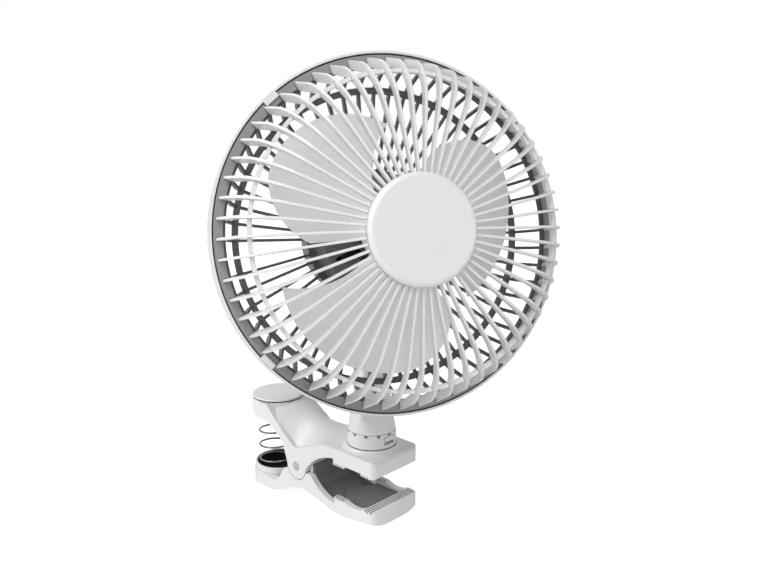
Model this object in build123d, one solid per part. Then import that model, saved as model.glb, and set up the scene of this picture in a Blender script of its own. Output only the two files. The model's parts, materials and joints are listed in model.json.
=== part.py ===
"""Clip fan: a small fan head in a wire-style cage, on a swivelling neck, on a sprung clip.

Frame: +Z is up and the clip's jaws open towards -Y. The origin is the middle of the flat
band at the nose of the upper jaw's gripping face. The fan head is turned and tilted on its
neck, so its pieces are drawn about their own axis first (z forwards, y up) and placed last.
Lengths are millimetres and angles are degrees.
"""

import os
from math import cos, radians, sin, sqrt

from build123d import *

os.makedirs("parts", exist_ok=True)

# ---- Driving dimensions: the clip ----------------------------------------------------
CLIP_WIDTH = 38.7            # both jaws, over their side plates
NOSE_CORNER = 4.0            # plan radius of the two nose corners
NOSE_TOP_RADIUS = 2.5        # rounding from the nose onto the platform
NOSE_LIP_RADIUS = 0.8        # rounding from the nose onto either gripping face
NOSE_KEEL_RADIUS = 1.5       # and onto the lower jaw's underside
NOSE_BAND = 4.0              # flat gripping band between the nose and the first groove
GRIP_LENGTH = 32.1           # nose to the step at the throat
JAW_THICKNESS = 10.1         # gripping face to the top of the platform
PLATFORM_EDGE = 0.8          # rounding of the upper jaw's long top edges
PLATFORM_LENGTH = 40.0       # nose to where the upper jaw's side starts to fall
PLATFORM_BEND = 25.0         # radius of the side's edge there
TAPER_BEHIND_EARS = 4.0      # where both jaws start to narrow towards the pad
TAPER_BEND = 20.0            # radius of their sides there
SWIVEL_FROM_NOSE = 19.4      # nose to the neck's axis
PIVOT_FROM_NOSE = 65.0       # nose to the hinge pin
PIVOT_DROP = 11.4            # hinge pin below the gripping face
PAD_FROM_NOSE = 103.4        # nose to the middle of the thumb pad and its spring
PAD_RISE = 22.7              # top of the thumb pad over the gripping face
PAD_RADIUS = 16.8
PAD_DRUM_HEIGHT = 13.6       # thumb pad's drum, cap included
THUMB_CAP_THICKNESS = 1.5
THUMB_CAP_EDGE = 0.75        # rounding of its rim
THUMB_CAP_DOME = 0.5         # rise of the cap's middle over its rim
THUMB_CAP_GAP = 0.9          # shadow gap under the thumb cap's rim
THUMB_CAP_SET_IN = 1.6       # depth of that gap
JAW_GAP = 20.0               # jaw opening at rest
EAR_RADIUS = 8.2             # rounded lugs round the hinge pin
EAR_THICKNESS = 3.2          # the upper jaw's side plates
CHEEK_THICKNESS = 3.0        # the lower jaw's lugs inside those plates
CHEEK_RADIUS = 5.2
SADDLE_RISE = 11.2           # side of the upper lever over the pin, at its lowest
SADDLE_BEHIND_PIN = 1.5      # that lowest place behind the pin
SADDLE_BEND = 5.0            # radius of the edge there
LEVER_UNDER_RISE = 13.4      # under edge of the lever's side over the pin, behind the ears
LEVER_UNDER_BEHIND = 4.5     # its bend behind the ears
LEVER_UNDER_BEND = 12.0      # radius of that bend
DRUM_FOOT_SHARE = 0.6        # of the pad's radius, where that edge meets the drum's foot
DRUM_FOOT_BEND = 3.0
RIDGE_FRONT = 12.9           # ridge of the domed lever over the gripping face, at the collar
RIDGE_SAG = 1.3              # how far the ridge hangs under a straight line to the drum
CROWN_SET_IN = 0.9           # foot of the lever's dome in from the jaw's sides
CROWN_FLAT = 2.6             # length over which that foot starts off nearly flat
CROWN_SHOULDER = 9.0         # dome's own shoulder out from its ridge
THROAT_RISE = 3.8            # top of the round throat over the gripping face
UPPER_THROAT_SAG = 3.2       # how far the upper jaw's throat bows away from its chord
LOWER_THROAT_SAG = 2.4
CLIP_WALL = 2.4              # moulded walls of both jaws
LEVER_HOLLOW_AHEAD = 2.0     # upper lever's hollow starts ahead of its slope
GROOVE_WIDTH = 0.9
GROOVE_PITCH = 1.9
GROOVE_DEPTH = 1.2
GROOVES_FRONT = 3
GROOVES_REAR = 4
RIM_HOLLOW = 2.0             # depth of the tray rim's hollow between its grooved ends
UPPER_RIM_HOLLOW = 1.6       # depth of the recess between the upper jaw's
UPPER_RIM_LAND = 1.0         # flat strip between that recess and the rear grooves
LOWER_NOSE_BAND = 2.0        # flat strip ahead of the tray rim's first groove
TRAY_DEPTH = 10.0            # lower jaw under its gripping rim
TRAY_RIM = 3.6               # width of that rim
TRAY_NOSE_WALL = 7.6         # wall between the tray and the nose
TRAY_CORNER = 1.5            # plan radius of the tray's front corners
TRAY_PAST_STEP = 2.0         # its level underside runs on past the throat's step
LOWER_STEP_SHORT = 0.5       # tray rim's rear end ahead of the upper jaw's step
LOWER_STEP_DEPTH = 4.5       # height of the step behind it
TRAY_FLOOR = 2.2
KEEL_RADIUS = 50.0           # the tray's underside is rounded across its nose
KEEL_DROP = 1.0              # its middle under the rest of the tray
KEEL_SLOPE = 0.145           # and how fast that rounding sinks away behind the nose
KEEL_RUN_IN = 10.0           # the rounding is drawn from this far ahead of the nose
LEVER_DEPTH = 13.0           # lower lever's underside below the pin
LEVER_FRONT = 9.0            # where it ends its rise from the tray, ahead of the pin
LEVER_DROP = 11.2            # how much lower that underside is at the spring cup
LEVER_END_DROP = 3.0         # and how much lower still at its rounded end
LEVER_BEND_BEHIND = 2.6      # last bend of that underside behind the rounded end's front
TRAY_BEND = 10.0             # radius of that underside's bends by the tray
LEVER_BEND = 8.0             # by the pin and the cup, and of the tray's floor inside
LEVER_FLOOR_BEND = 6.0       # and of the lever's floor inside
THROAT_TOP_AHEAD = 5.0       # top of the lower throat ahead of the ears
THROAT_TOP_DROP = 2.0        # and below the pin
LOWER_SIDE_DROPS = (3.0, 5.5, 12.0)  # side's top edge below the pin, 1, 1.5, 2 ears back
LOWER_SIDE_BEND = 5.0        # radius of that edge
CUP_FOOT_BEND = 4.0          # where it meets the foot of the spring cup
BULKHEAD_AHEAD = 3.0         # wall between tray and hinge, ahead of the ears
BULKHEAD_THICKNESS = 2.4     # wall between the tray and the hinge
BULKHEAD_RISE = 4.4          # its top over the pin
CUP_RADIUS = 16.0
CUP_WALL = 1.0
CUP_RIM_DROP = 24.4          # rim of the spring cup below the gripping face
CUP_DEPTH = 9.0
CUP_INSERT_WALL = 0.8
CUP_INSERT_DROP = 0.4        # insert's rim below the cup's
BASE_RADIUS = 17.0           # rounded end of the lower lever
BASE_STEP = 4.0              # lever's side walls below the cup's rim
LINER_THICKNESS = 1.2
LINER_BEND = 5.0             # radius between its floor and its rear wall
LINER_UNDER_BULKHEAD = 1.0   # top of that rear wall below the bulkhead's
LINER_STEP = 2.9             # raised pad over the liner's skin
LINER_CHANNEL_RADIUS = 8.15  # two hollow channels along the pad's rear half
LINER_CHANNEL_DEPTH = 2.8
LINER_NARROW_FROM_NOSE = 30.0  # nose to where the pad steps in, with a slot either side
LINER_V_FRONT = 28.9         # nose to the channels' front ends, at their outer edges
LINER_V_BACK = 41.5          # and in the middle
PIN_RADIUS = 1.8
PIN_HEAD_RADIUS = 2.6
PIN_HEAD_THICKNESS = 0.8
PIN_CLIP_RADIUS = 3.2
PIN_CLIP_THICKNESS = 0.8
PIN_PROUD = 0.8              # pin's plain end past its retainer
SPRING_RADIUS = 13.0         # to the middle of the wire
SPRING_WIRE_RADIUS = 0.65
SPRING_TURNS = 5.0
SPRING_START = 167.0         # direction of the wire's lower end about the spring's axis
SPRING_COIL_STEPS = 4        # biarcs to each turn

# ---- Driving dimensions: collar, neck and tilt joint ---------------------------------
COLLAR_BASE_RADIUS = 17.4    # flared skirt on the platform
COLLAR_MID_RADIUS = 16.1
COLLAR_MID_RISE = 0.9        # over the platform
COLLAR_SKIRT_RADIUS = 15.0   # top of that skirt
COLLAR_SKIRT_RISE = 2.4
COLLAR_FOOT_RADIUS = 14.5    # nearly upright wall over the skirt
COLLAR_FOOT_GAP = 0.5        # shadow line between them
COLLAR_FOOT_GAP_DEPTH = 0.9
COLLAR_TOP_RADIUS = 14.0
COLLAR_HEIGHT = 11.2         # platform to the swivel seam
SPIGOT_RADIUS = 9.0
LEDGE_THICKNESS = 2.4        # web that the swivel screw clamps
LEDGE_RISE = 6.2             # underside of that web over the gripping face
COUNTERBORE_RADIUS = 8.0
NOTCH_COUNT = 12
NOTCH_WIDTH = 1.8
NOTCH_HEIGHT = 1.4
NOTCH_DEPTH = 1.2
WINDOW_WIDTH = 8.0
WINDOW_HEIGHT = 4.6
WINDOW_BELOW_NOTCHES = 0.4
WINDOW_DEPTH = 3.4
WINDOW_SLOT = 1.8            # dark gap left under the tongue in that window
NECK_FOOT_WIDTH = 20.8       # square part of the neck, over its round foot
NECK_FOOT_DEPTH = 20.0
NECK_FOOT_HEIGHT = 10.0
NECK_WIDTH = 15.0            # across the fork
NECK_DEPTH = 14.5
NECK_CORNER = 1.8
NECK_TAPER_HEIGHT = 34.0     # seam to where the taper ends
TILT_HEIGHT = 68.0           # seam to the tilt axis
FORK_RADIUS = 7.4
FORK_SLOT_ROOM = 1.4         # fork's slot below the lug's round end
LUG_THICKNESS = 8.0
LUG_RADIUS = 7.0
FRICTION_WASHER = 0.5
FRICTION_WASHER_SET_IN = 0.6 # its edge in from the fork's
BOLT_RADIUS = 2.0
BOLT_HEAD_RADIUS = 3.6
BOLT_HEAD_HEIGHT = 2.2
BOLT_PROUD = 1.5             # bolt's end past its nut
TILT_NUT_HEIGHT = 3.0
SWIVEL_SCREW_RADIUS = 2.0
SWIVEL_SCREW_RISE = 1.5      # its tip over the swivel seam
SWIVEL_HEAD_RADIUS = 4.2
SWIVEL_HEAD_HEIGHT = 2.6
SWIVEL_WASHER_RADIUS = 7.2
SWIVEL_WASHER_THICKNESS = 1.0
DRIVE_SLOT = 1.0             # width and depth of the slots for a screwdriver
DRIVE_RADIUS = 2.6           # reach of the swivel screw's cross slot
REST_YAW = -28.8             # head turned about +Z from the clip's own direction
REST_TILT = 12.0             # head tilted up

# ---- Driving dimensions: the cage ----------------------------------------------------
RING_RADIUS = 92.5           # over the white rim band
BAND_THICKNESS = 1.2
BAND_DEPTH = 10.0
BAND_LIP = 3.2               # inward lip behind the rear grille's rim
FLANGE_WIDTH = 4.7           # the part of the flange that shows inside the band
FLANGE_THICKNESS = 2.0
FLANGE_SET_BACK = 0.6        # flange face behind the band's front edge
HOOK_COUNT = 4
HOOK_WIDTH = 8.0
HOOK_ANGLE = 40.4
HOOK_PROUD = 0.6             # over the band's front edge
HOOK_REACH = 2.0             # over the flange
RIB_COUNT = 56
RIB_START = 5.1
FRONT_RIB_THICKNESS = 1.3
FRONT_RIB_DEPTH = 4.5        # at the cage's wall
FRONT_RIB_HUB_DEPTH = 2.5
FRONT_RIB_SET_IN = 3.1       # a rib's outer edge in from the white rim band
CAGE_FRONT = 33.3            # where the front ribs' two straights would meet
CAGE_DRAFT = 9.7             # how far the wall leans in over that height
CAGE_CORNER = 28.0
HUB_DISC_RADIUS = 25.6
HUB_DISC_THICKNESS = 2.4
HUB_FRONT = 40.5             # ribs' front edge at the hub disc
HUB_DISC_SET_BACK = 0.4      # disc's face behind that edge
FRONT_RING_SET_IN = 12.4     # middle ring in from the ribs' outer edge
FRONT_RING_WIDTH = 2.0
FRONT_RING_DEPTH = 2.6
FRONT_RING_DROP = 8.7        # its front face behind the ribs' two straights
RIB_OVERLAP = 1.5            # how far ribs run into what they are moulded to
CAP_RADIUS = 26.7
CAP_THICKNESS = 4.0
CAP_EDGE = 2.4
CAP_LEG_COUNT = 3
CAP_LEG_RADIUS = 20.0
CAP_LEG_WIDTH = 5.0
CAP_LEG_THICKNESS = 1.6
CAP_LEG_PAST = 1.0           # leg's end behind the hub disc
REAR_RIB_THICKNESS = 1.4
REAR_RIB_DEPTH = 3.0
REAR_RIB_PROUD = 0.6         # rib's outer end outside the flange's inner edge
REAR_RING_SET_IN = 8.7       # rear ring in from the flange's inner edge
REAR_RING_WIDTH = 3.2
REAR_RING_THICKNESS = 2.2
REAR_RING_SET_BACK = 1.4     # its rear face behind the ribs' front edge
REAR_BEND_Z = -26.0          # rear face of the ribs where they bend at the rear ring
REAR_BEND_RADIUS = 10.0
REAR_BEND_OUTSIDE = 1.0      # bend of the ribs' rear edge outside the rear ring
REAR_BEND_INSIDE = 1.2       # and of their front edge inside that ring's edge
PLATE_BACK = -38.0           # rear face of the motor plate
PLATE_THICKNESS = 2.6
PLATE_RADIUS = 37.2
PLATE_OPENING = 24.0
PLATE_ARM_WIDTH = 9.0        # arms in that opening, which carry the motor
PLATE_ARM_PAST = 4.0         # their ends inside the motor screws
PLATE_FOOT_RADIUS = 3.2      # round feet on the arms
RIM_THICKNESS = 2.3          # rear grille's rim, behind the flange
RIM_SET_IN = 1.4             # that rim's inner edge in from the flange's

# ---- Driving dimensions: motor and blade ---------------------------------------------
COVER_RADIUS = 33.0
COVER_WALL = 2.0
COVER_DEPTH = 37.0
COVER_EDGE = 6.0
VENT_COUNT = 12
VENT_WIDTH = 2.4
VENT_INNER = 14.0
VENT_OUTER = 23.0
TILT_BEHIND_RING = 49.6      # tilt axis behind the ring's front plane
TILT_BELOW_AXIS = 42.5       # tilt axis below the fan's axis
FRONT_COVER_RADIUS = 34.6
FRONT_COVER_FACE_RADIUS = 31.0
FRONT_COVER_DEPTH = 12.0
FRONT_COVER_BORE_ROOM = 1.0  # its middle hole round the bearing holder
FRONT_VENT_COUNT = 14
FRONT_VENT_WIDTH = 3.6
FRONT_VENT_INNER = 13.0
FRONT_VENT_OUTER = 27.5
SHAFT_RADIUS = 1.6
SHAFT_FRONT = 9.0
SHAFT_BACK = -67.0
SHAFT_CHAMFER = 0.3
BEARING_RADIUS = 3.5
BEARING_LENGTH = 5.0
BEARING_HOLDER_RADIUS = 5.6
BEARING_PROUD = 1.0          # bearing's end past its holder
STATOR_FRONT = -46.0
STATOR_LENGTH = 12.0
STATOR_HALF_WIDTH = 17.0
STATOR_TOP = 14.0
POLE_BOTTOM = -11.0
CORE_TOP = -18.0
CORE_BOTTOM = -24.0
LEG_WIDTH = 5.0
ROTOR_RADIUS = 9.0
ROTOR_GAP = 0.4
ROTOR_END_RING = 1.5
COIL_THICKNESS = 3.6
COIL_SET_IN = 0.4            # coil in from its bobbin's flanges
STATOR_TOP_CORNER = 4.0
STATOR_BOTTOM_CORNER = 1.5
BOBBIN_WALL = 0.8
BRACKET_GAP = 4.0            # stator face to bracket plate
BRACKET_THICKNESS = 1.6
BRACKET_HEIGHT = 11.0
BRACKET_POST_RADIUS = 2.8
THRUST_WASHER_RADIUS = 3.4
THRUST_WASHER_GAP = 1.2      # washer to the bearing
MOTOR_SCREW_X = 13.6
MOTOR_SCREW_RADIUS = 1.3
MOTOR_SCREW_HEAD = 2.5
MOTOR_SCREW_HEAD_HEIGHT = 1.8
COVER_SCREW_COUNT = 3
COVER_SCREW_CIRCLE = 27.6
COVER_SCREW_RADIUS = 1.5
COVER_SCREW_HEAD = 2.8
COVER_SCREW_HEAD_HEIGHT = 2.0
COVER_SCREW_SEAT = 3.0       # counterbore under that head, from the housing's back
COVER_BOSS_RADIUS = 3.0
COVER_BOSS_START = 90.0
BLADE_RADIUS = 70.0
BLADE_MIDDLE = -10.4         # back of the blades' middle line, from the ring's front plane
BLADE_THICKNESS = 1.6
BLADE_HALF_CHORD = 50.0      # either side of that middle line, over which the next two hold
BLADE_RISE = 19.0            # one edge ahead of the middle, the other behind
BLADE_CAMBER = 6.0           # both edges ahead of it
BLADE_LEAD = 49.5            # angle from the middle line to the rear, leading corner
BLADE_LEAD_RADIUS = 59.5
BLADE_LEAD_BOW = 7.0         # how far the leading edge is drawn in
BLADE_TIP_FROM = -9.0        # the tip is nearly round between these angles
BLADE_TIP_TO = 20.0
BLADE_TIP_BOWS = (5.6, 3.3, 6.9)  # bow of the leading, middle and trailing thirds of the tip
BLADE_TRAIL = 50.7           # angle to the forward, trailing corner
BLADE_TRAIL_RADIUS = 45.0
BLADE_COUNT = 3
BLADE_FIRST_ANGLE = 132.5
BLADE_HUB_RADIUS = 13.0
BLADE_HUB_FRONT = 6.0
BLADE_HUB_BACK = -15.5
BLADE_ROOT_LEAD = 30.0       # angles at which the two edges meet the hub
BLADE_ROOT_TRAIL = 52.5
BLADE_HUB_WALL = 1.8
BLADE_BOSS_RADIUS = 4.2
BLADE_HUB_EDGE = 2.0
RETAINER_RADIUS = 4.6
RETAINER_THICKNESS = 1.2
KNOB_RADIUS = 7.0
KNOB_HEIGHT = 9.0
KNOB_BASE = 3.0              # round base under the finger bar
KNOB_BAR_SET_IN = 0.6        # finger bar's ends in from that base
KNOB_RISE = 12.0             # knob over the fan's axis, on the back of the motor cover
KNOB_STEM_RADIUS = 2.4
KNOB_GRIP_WIDTH = 3.0
KNOB_STEM_REACH = 1.5        # stem's end past the housing's wall, in the switch
KNOB_ROOM = 5.0              # plain wall round the knob and the cord inlet
SWITCH_WIDTH = 13.0
SWITCH_HEIGHT = 11.0
SWITCH_DEPTH = 3.0
INLET_RADIUS = 5.4
INLET_BORE = 3.2
INLET_FLANGE = 1.2
INLET_TAIL = 2.0             # bushing's end past the housing's wall
INLET_DROP = 18.0            # cord inlet below the fan's axis

# ---- Clearances ----------------------------------------------------------------------
RUNNING = 0.05               # shafts and pins that turn in their bores
SLIP = 0.02                  # fixed pins and screws in their holes
SEAM = 0.2                   # flat faces of neighbouring mouldings
MOVING_GAP = 0.35            # walls that pass each other
SWITCH_GAP = 0.1             # switch body behind the housing's wall
MERGE = 0.5                  # how far bars run into the heads and plates they join
PAST = 1.0                   # how far a cut runs on past the face that it opens
LEAST_RADIUS = 1.0           # smallest corner of an inset plan

# ---- Places worked out from the values above -----------------------------------------
NOSE_Y = -NOSE_BAND / 2
HALF_WIDTH = CLIP_WIDTH / 2
SWIVEL_Y = NOSE_Y + SWIVEL_FROM_NOSE
STEP_Y = NOSE_Y + GRIP_LENGTH
PIVOT_Y = NOSE_Y + PIVOT_FROM_NOSE
PIVOT_Z = -PIVOT_DROP
PAD_Y = NOSE_Y + PAD_FROM_NOSE
PLATFORM_END_Y = NOSE_Y + PLATFORM_LENGTH
SADDLE_Y = PIVOT_Y + SADDLE_BEHIND_PIN
SADDLE_Z = PIVOT_Z + SADDLE_RISE
LEVER_END_Y = PAD_Y - PAD_RADIUS / 2
DRUM_FRONT_Y = PAD_Y - PAD_RADIUS
DRUM_TOP = PAD_RISE - THUMB_CAP_THICKNESS - THUMB_CAP_GAP
DRUM_BOTTOM = PAD_RISE - PAD_DRUM_HEIGHT
SEAM_Z = JAW_THICKNESS + COLLAR_HEIGHT
TILT_Z = SEAM_Z + TILT_HEIGHT
WINDOW_LOW = SEAM_Z - NOTCH_HEIGHT - WINDOW_HEIGHT - WINDOW_BELOW_NOTCHES
EAR_INNER = HALF_WIDTH - EAR_THICKNESS
CHEEK_OUTER = EAR_INNER - MOVING_GAP
CHEEK_INNER = CHEEK_OUTER - CHEEK_THICKNESS
RIM_Z = -JAW_GAP
TRAY_BOTTOM = RIM_Z - TRAY_DEPTH
CUP_RIM_Z = -CUP_RIM_DROP
CUP_FLOOR_Z = CUP_RIM_Z - CUP_DEPTH
CUP_HOLE_FLOOR = CUP_FLOOR_Z - CUP_INSERT_WALL
LEVER_BOTTOM = PIVOT_Z - LEVER_DEPTH
LEVER_BEND_Y = PAD_Y - BASE_RADIUS + LEVER_BEND_BEHIND
LEVER_FRONT_Y = PIVOT_Y - LEVER_FRONT
TRAY_END_Y = STEP_Y + TRAY_PAST_STEP
LOWER_STEP_Y = STEP_Y - LOWER_STEP_SHORT
TRAY_FRONT_Y = NOSE_Y + TRAY_NOSE_WALL
BULKHEAD_Y = PIVOT_Y - EAR_RADIUS - BULKHEAD_AHEAD
FLANGE_FACE = -FLANGE_SET_BACK
FLANGE_BACK = FLANGE_FACE - FLANGE_THICKNESS
RIM_BACK = FLANGE_BACK - RIM_THICKNESS
BAND_INNER = RING_RADIUS - BAND_THICKNESS
FLANGE_OUTER = BAND_INNER - 2 * MOVING_GAP
FLANGE_INNER_RADIUS = FLANGE_OUTER - FLANGE_WIDTH
FRONT_RIB_ROOT = RING_RADIUS - FRONT_RIB_SET_IN
RIB_CORNER_RADIUS = FRONT_RIB_ROOT - CAGE_DRAFT
FRONT_RING_RADIUS = FRONT_RIB_ROOT - FRONT_RING_SET_IN
FRONT_RING_FRONT = CAGE_FRONT - FRONT_RING_DROP
REAR_RING_RADIUS = FLANGE_INNER_RADIUS - REAR_RING_SET_IN
PLATE_FRONT = PLATE_BACK + PLATE_THICKNESS
COVER_FRONT = PLATE_BACK
COVER_BACK = PLATE_BACK - COVER_DEPTH
COVER_INNER = COVER_RADIUS - COVER_WALL
STATOR_BACK = STATOR_FRONT - STATOR_LENGTH
FRONT_BRACKET_BACK = STATOR_FRONT + BRACKET_GAP
FRONT_BRACKET_FRONT = FRONT_BRACKET_BACK + BRACKET_THICKNESS
REAR_BRACKET_FRONT = STATOR_BACK - BRACKET_GAP
REAR_BRACKET_BACK = REAR_BRACKET_FRONT - BRACKET_THICKNESS
TALL = 400.0                 # longer than anything it cuts

# The tilt axis lies on the neck's axis. The head's own frame: z along the fan's axis.
SWIVEL = Pos(0, SWIVEL_Y, 0) * Rot(0, 0, REST_YAW)
HEAD = (
    SWIVEL
    * Pos(0, 0, TILT_Z)
    * Rot(90 - REST_TILT, 0, 0)
    * Pos(0, TILT_BELOW_AXIS, TILT_BEHIND_RING)
)

parts = {}


# ---- Small helpers -------------------------------------------------------------------
def tube(radius, low, high, hole=0.0):
    """A round bar on Z between two heights, bored through if it has a hole."""
    bar = Pos(0, 0, low) * Cylinder(
        radius, high - low, align=(Align.CENTER, Align.CENTER, Align.MIN)
    )
    if hole > 0:
        bar -= Pos(0, 0, low - 1) * Cylinder(
            hole, high - low + 2, align=(Align.CENTER, Align.CENTER, Align.MIN)
        )
    return bar


def block(x, y, z):
    """A box between two corners, each axis given as (low, high)."""
    size = [high - low for low, high in (x, y, z)]
    middle = [(high + low) / 2 for low, high in (x, y, z)]
    return Pos(*middle) * Box(*size)


def cross_bar(radius, low, high, y, z):
    """A round bar along X between two places."""
    return Pos(0, y, z) * Rot(0, 90, 0) * tube(radius, low, high)


def outline(corners):
    """A closed face through (u, v, corner radius) triples."""
    points = [(u, v) for u, v, _ in corners]
    return make_face(FilletPolyline(*points, radius=[r for _, _, r in corners], close=True))


def bowed(start, end, sag):
    """An arc between two (u, v) points, bowed to the right of its chord."""
    chord = Vector(end[0] - start[0], end[1] - start[1])
    normal = Vector(chord.Y, -chord.X).normalized() * sag
    middle = Vector((start[0] + end[0]) / 2, (start[1] + end[1]) / 2) + normal
    return ThreePointArc(start, (middle.X, middle.Y), end)


def side_slab(face, half_width):
    """A (y, z) face made as wide as the clip, or as part of it."""
    return extrude(Plane.YZ * face, amount=half_width, both=True)


def spun(points):
    """A ring turned about Z from its (radius, z) corners."""
    return revolve(Plane.XZ * make_face(Polyline(*points, close=True)), Axis.Z)


def around(count, start=0.0):
    """Turns about Z, evenly spaced."""
    return [Rot(0, 0, start + 360 * i / count) for i in range(count)]


# ---- Clip: shared outlines -----------------------------------------------------------
def clip_plan(end_y, end_radius, inset=0.0):
    """Plan of a jaw: square nose, straight sides, round end under the thumb."""
    half = HALF_WIDTH - inset
    end = end_radius - inset
    taper_y = PIVOT_Y + EAR_RADIUS + TAPER_BEHIND_EARS
    nose_corner = max(NOSE_CORNER - inset, LEAST_RADIUS)
    corners = [
        (-half, NOSE_Y + inset, nose_corner),
        (half, NOSE_Y + inset, nose_corner),
        (half, taper_y, TAPER_BEND),
        (end, end_y, 0),
        (-end, end_y, 0),
        (-half, taper_y, TAPER_BEND),
    ]
    plan = outline(corners) + Pos(0, end_y) * Circle(end)
    return Pos(0, 0, -TALL / 2) * extrude(plan, amount=TALL)


def lever_top():
    """Top edge of the upper jaw's sides from its nose to the thumb pad."""
    return [
        (NOSE_Y, JAW_THICKNESS, NOSE_TOP_RADIUS),
        (PLATFORM_END_Y, JAW_THICKNESS, PLATFORM_BEND),
        (SADDLE_Y, SADDLE_Z, SADDLE_BEND),
        (LEVER_END_Y, DRUM_TOP, 0),
        (PAD_Y, DRUM_TOP, 0),
    ]


def side_height(y):
    """Height of that edge, without its rounded corners."""
    if y <= PLATFORM_END_Y:
        return JAW_THICKNESS
    if y <= SADDLE_Y:
        share = (y - PLATFORM_END_Y) / (SADDLE_Y - PLATFORM_END_Y)
        return JAW_THICKNESS + (SADDLE_Z - JAW_THICKNESS) * share
    share = min((y - SADDLE_Y) / (LEVER_END_Y - SADDLE_Y), 1)
    return SADDLE_Z + (DRUM_TOP - SADDLE_Z) * share


def ridge_height(y):
    """Height of the domed lever's ridge."""
    front_y = SWIVEL_Y + COLLAR_TOP_RADIUS
    share = min(max((y - front_y) / (DRUM_FRONT_Y - front_y), 0), 1)
    straight = RIDGE_FRONT + (DRUM_TOP - RIDGE_FRONT) * share
    return straight - 4 * RIDGE_SAG * share * (1 - share)


def crown_section(y, inset, drop, low):
    """Cross-section of the lever's dome: level at its feet and at its ridge."""
    half = HALF_WIDTH - CROWN_SET_IN - inset
    foot = side_height(y) - CROWN_SET_IN - drop
    ridge = ridge_height(y) - drop
    shoulder = min(CROWN_SHOULDER, half - LEAST_RADIUS)
    edge = Bezier((-half, foot), (CROWN_FLAT - half, foot), (-shoulder, ridge), (0, ridge))
    edge += Bezier((0, ridge), (shoulder, ridge), (half - CROWN_FLAT, foot), (half, foot))
    edge += Polyline((half, foot), (half, low), (-half, low), (-half, foot))
    return Plane(origin=(0, y, 0), x_dir=(1, 0, 0), z_dir=(0, -1, 0)) * make_face(edge)


def crown(first_y, inset, drop, low_under):
    """The lever's dome from a place behind the collar to the drum."""
    places = [first_y, PLATFORM_END_Y, (PLATFORM_END_Y + SADDLE_Y) / 2, SADDLE_Y]
    places += [(SADDLE_Y + DRUM_FRONT_Y) / 2, DRUM_FRONT_Y, LEVER_END_Y]
    return loft(
        [crown_section(y, inset, drop, side_height(y) - low_under) for y in places]
    )


def grooves(first_y, count, z, x_low, x_high):
    """Square grooves across a gripping face, cut from below or from above."""
    cuts = []
    for i in range(count):
        y = first_y + i * GROOVE_PITCH
        cuts.append(
            block((x_low, x_high), (y, y + GROOVE_WIDTH), (z - GROOVE_DEPTH, z + GROOVE_DEPTH))
        )
    return cuts


# ---- Clip: upper jaw -----------------------------------------------------------------
def upper_profile():
    """Side view of the upper jaw: platform, throat, ears and rising lever."""
    ear_front = (PIVOT_Y - EAR_RADIUS, PIVOT_Z)
    ear_back = (PIVOT_Y + EAR_RADIUS, PIVOT_Z)
    under_y = PIVOT_Y + EAR_RADIUS + LEVER_UNDER_BEHIND
    corners = [(STEP_Y, 0, 0), (NOSE_Y, 0, NOSE_LIP_RADIUS)] + lever_top()
    corners += [
        (PAD_Y, DRUM_BOTTOM, 0),
        (PAD_Y - PAD_RADIUS * DRUM_FOOT_SHARE, DRUM_BOTTOM, DRUM_FOOT_BEND),
        (under_y, PIVOT_Z + LEVER_UNDER_RISE, LEVER_UNDER_BEND),
    ]
    points = [(STEP_Y, THROAT_RISE)] + [(y, z) for y, z, _ in corners] + [ear_back]
    edge = FilletPolyline(*points, radius=[r for _, _, r in corners])
    edge += ThreePointArc(ear_back, (PIVOT_Y, PIVOT_Z - EAR_RADIUS), ear_front)
    edge += bowed(ear_front, (STEP_Y, THROAT_RISE), UPPER_THROAT_SAG)
    return make_face(edge)


def near_top(point):
    """Whether a place on the upper jaw's side is by its top edge, rounded corners included."""
    reach = NOSE_TOP_RADIUS + MERGE
    return abs(point.Z - side_height(point.Y)) < reach


def rounded_sides(jaw):
    """The jaw with its long top edges rounded, from the nose to the drum."""
    edges = []
    for edge in jaw.edges():
        middle = edge @ 0.5
        at_side = abs(abs(middle.X) - HALF_WIDTH) < SLIP / 2
        if at_side and middle.Y < LEVER_END_Y:
            if near_top(middle) and near_top(edge.start_point()):
                edges.append(edge)
    return fillet(edges, PLATFORM_EDGE)


def upper_hollow():
    """The space under the lever's skin, between the side plates."""
    inset = EAR_THICKNESS - CROWN_SET_IN
    return crown(PLATFORM_END_Y - LEVER_HOLLOW_AHEAD, inset, CLIP_WALL, TALL / 8)


def collar():
    """Round collar that carries the swivel, over a flared skirt."""
    skirt_z = JAW_THICKNESS + COLLAR_SKIRT_RISE
    gap_radius = COLLAR_FOOT_RADIUS - COLLAR_FOOT_GAP_DEPTH
    return spun(
        [
            (0, JAW_THICKNESS / 2),
            (COLLAR_BASE_RADIUS, JAW_THICKNESS / 2),
            (COLLAR_BASE_RADIUS, JAW_THICKNESS),
            (COLLAR_MID_RADIUS, JAW_THICKNESS + COLLAR_MID_RISE),
            (COLLAR_SKIRT_RADIUS, skirt_z),
            (gap_radius, skirt_z),
            (gap_radius, skirt_z + COLLAR_FOOT_GAP),
            (COLLAR_FOOT_RADIUS, skirt_z + COLLAR_FOOT_GAP),
            (COLLAR_TOP_RADIUS, SEAM_Z),
            (0, SEAM_Z),
        ]
    )


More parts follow.
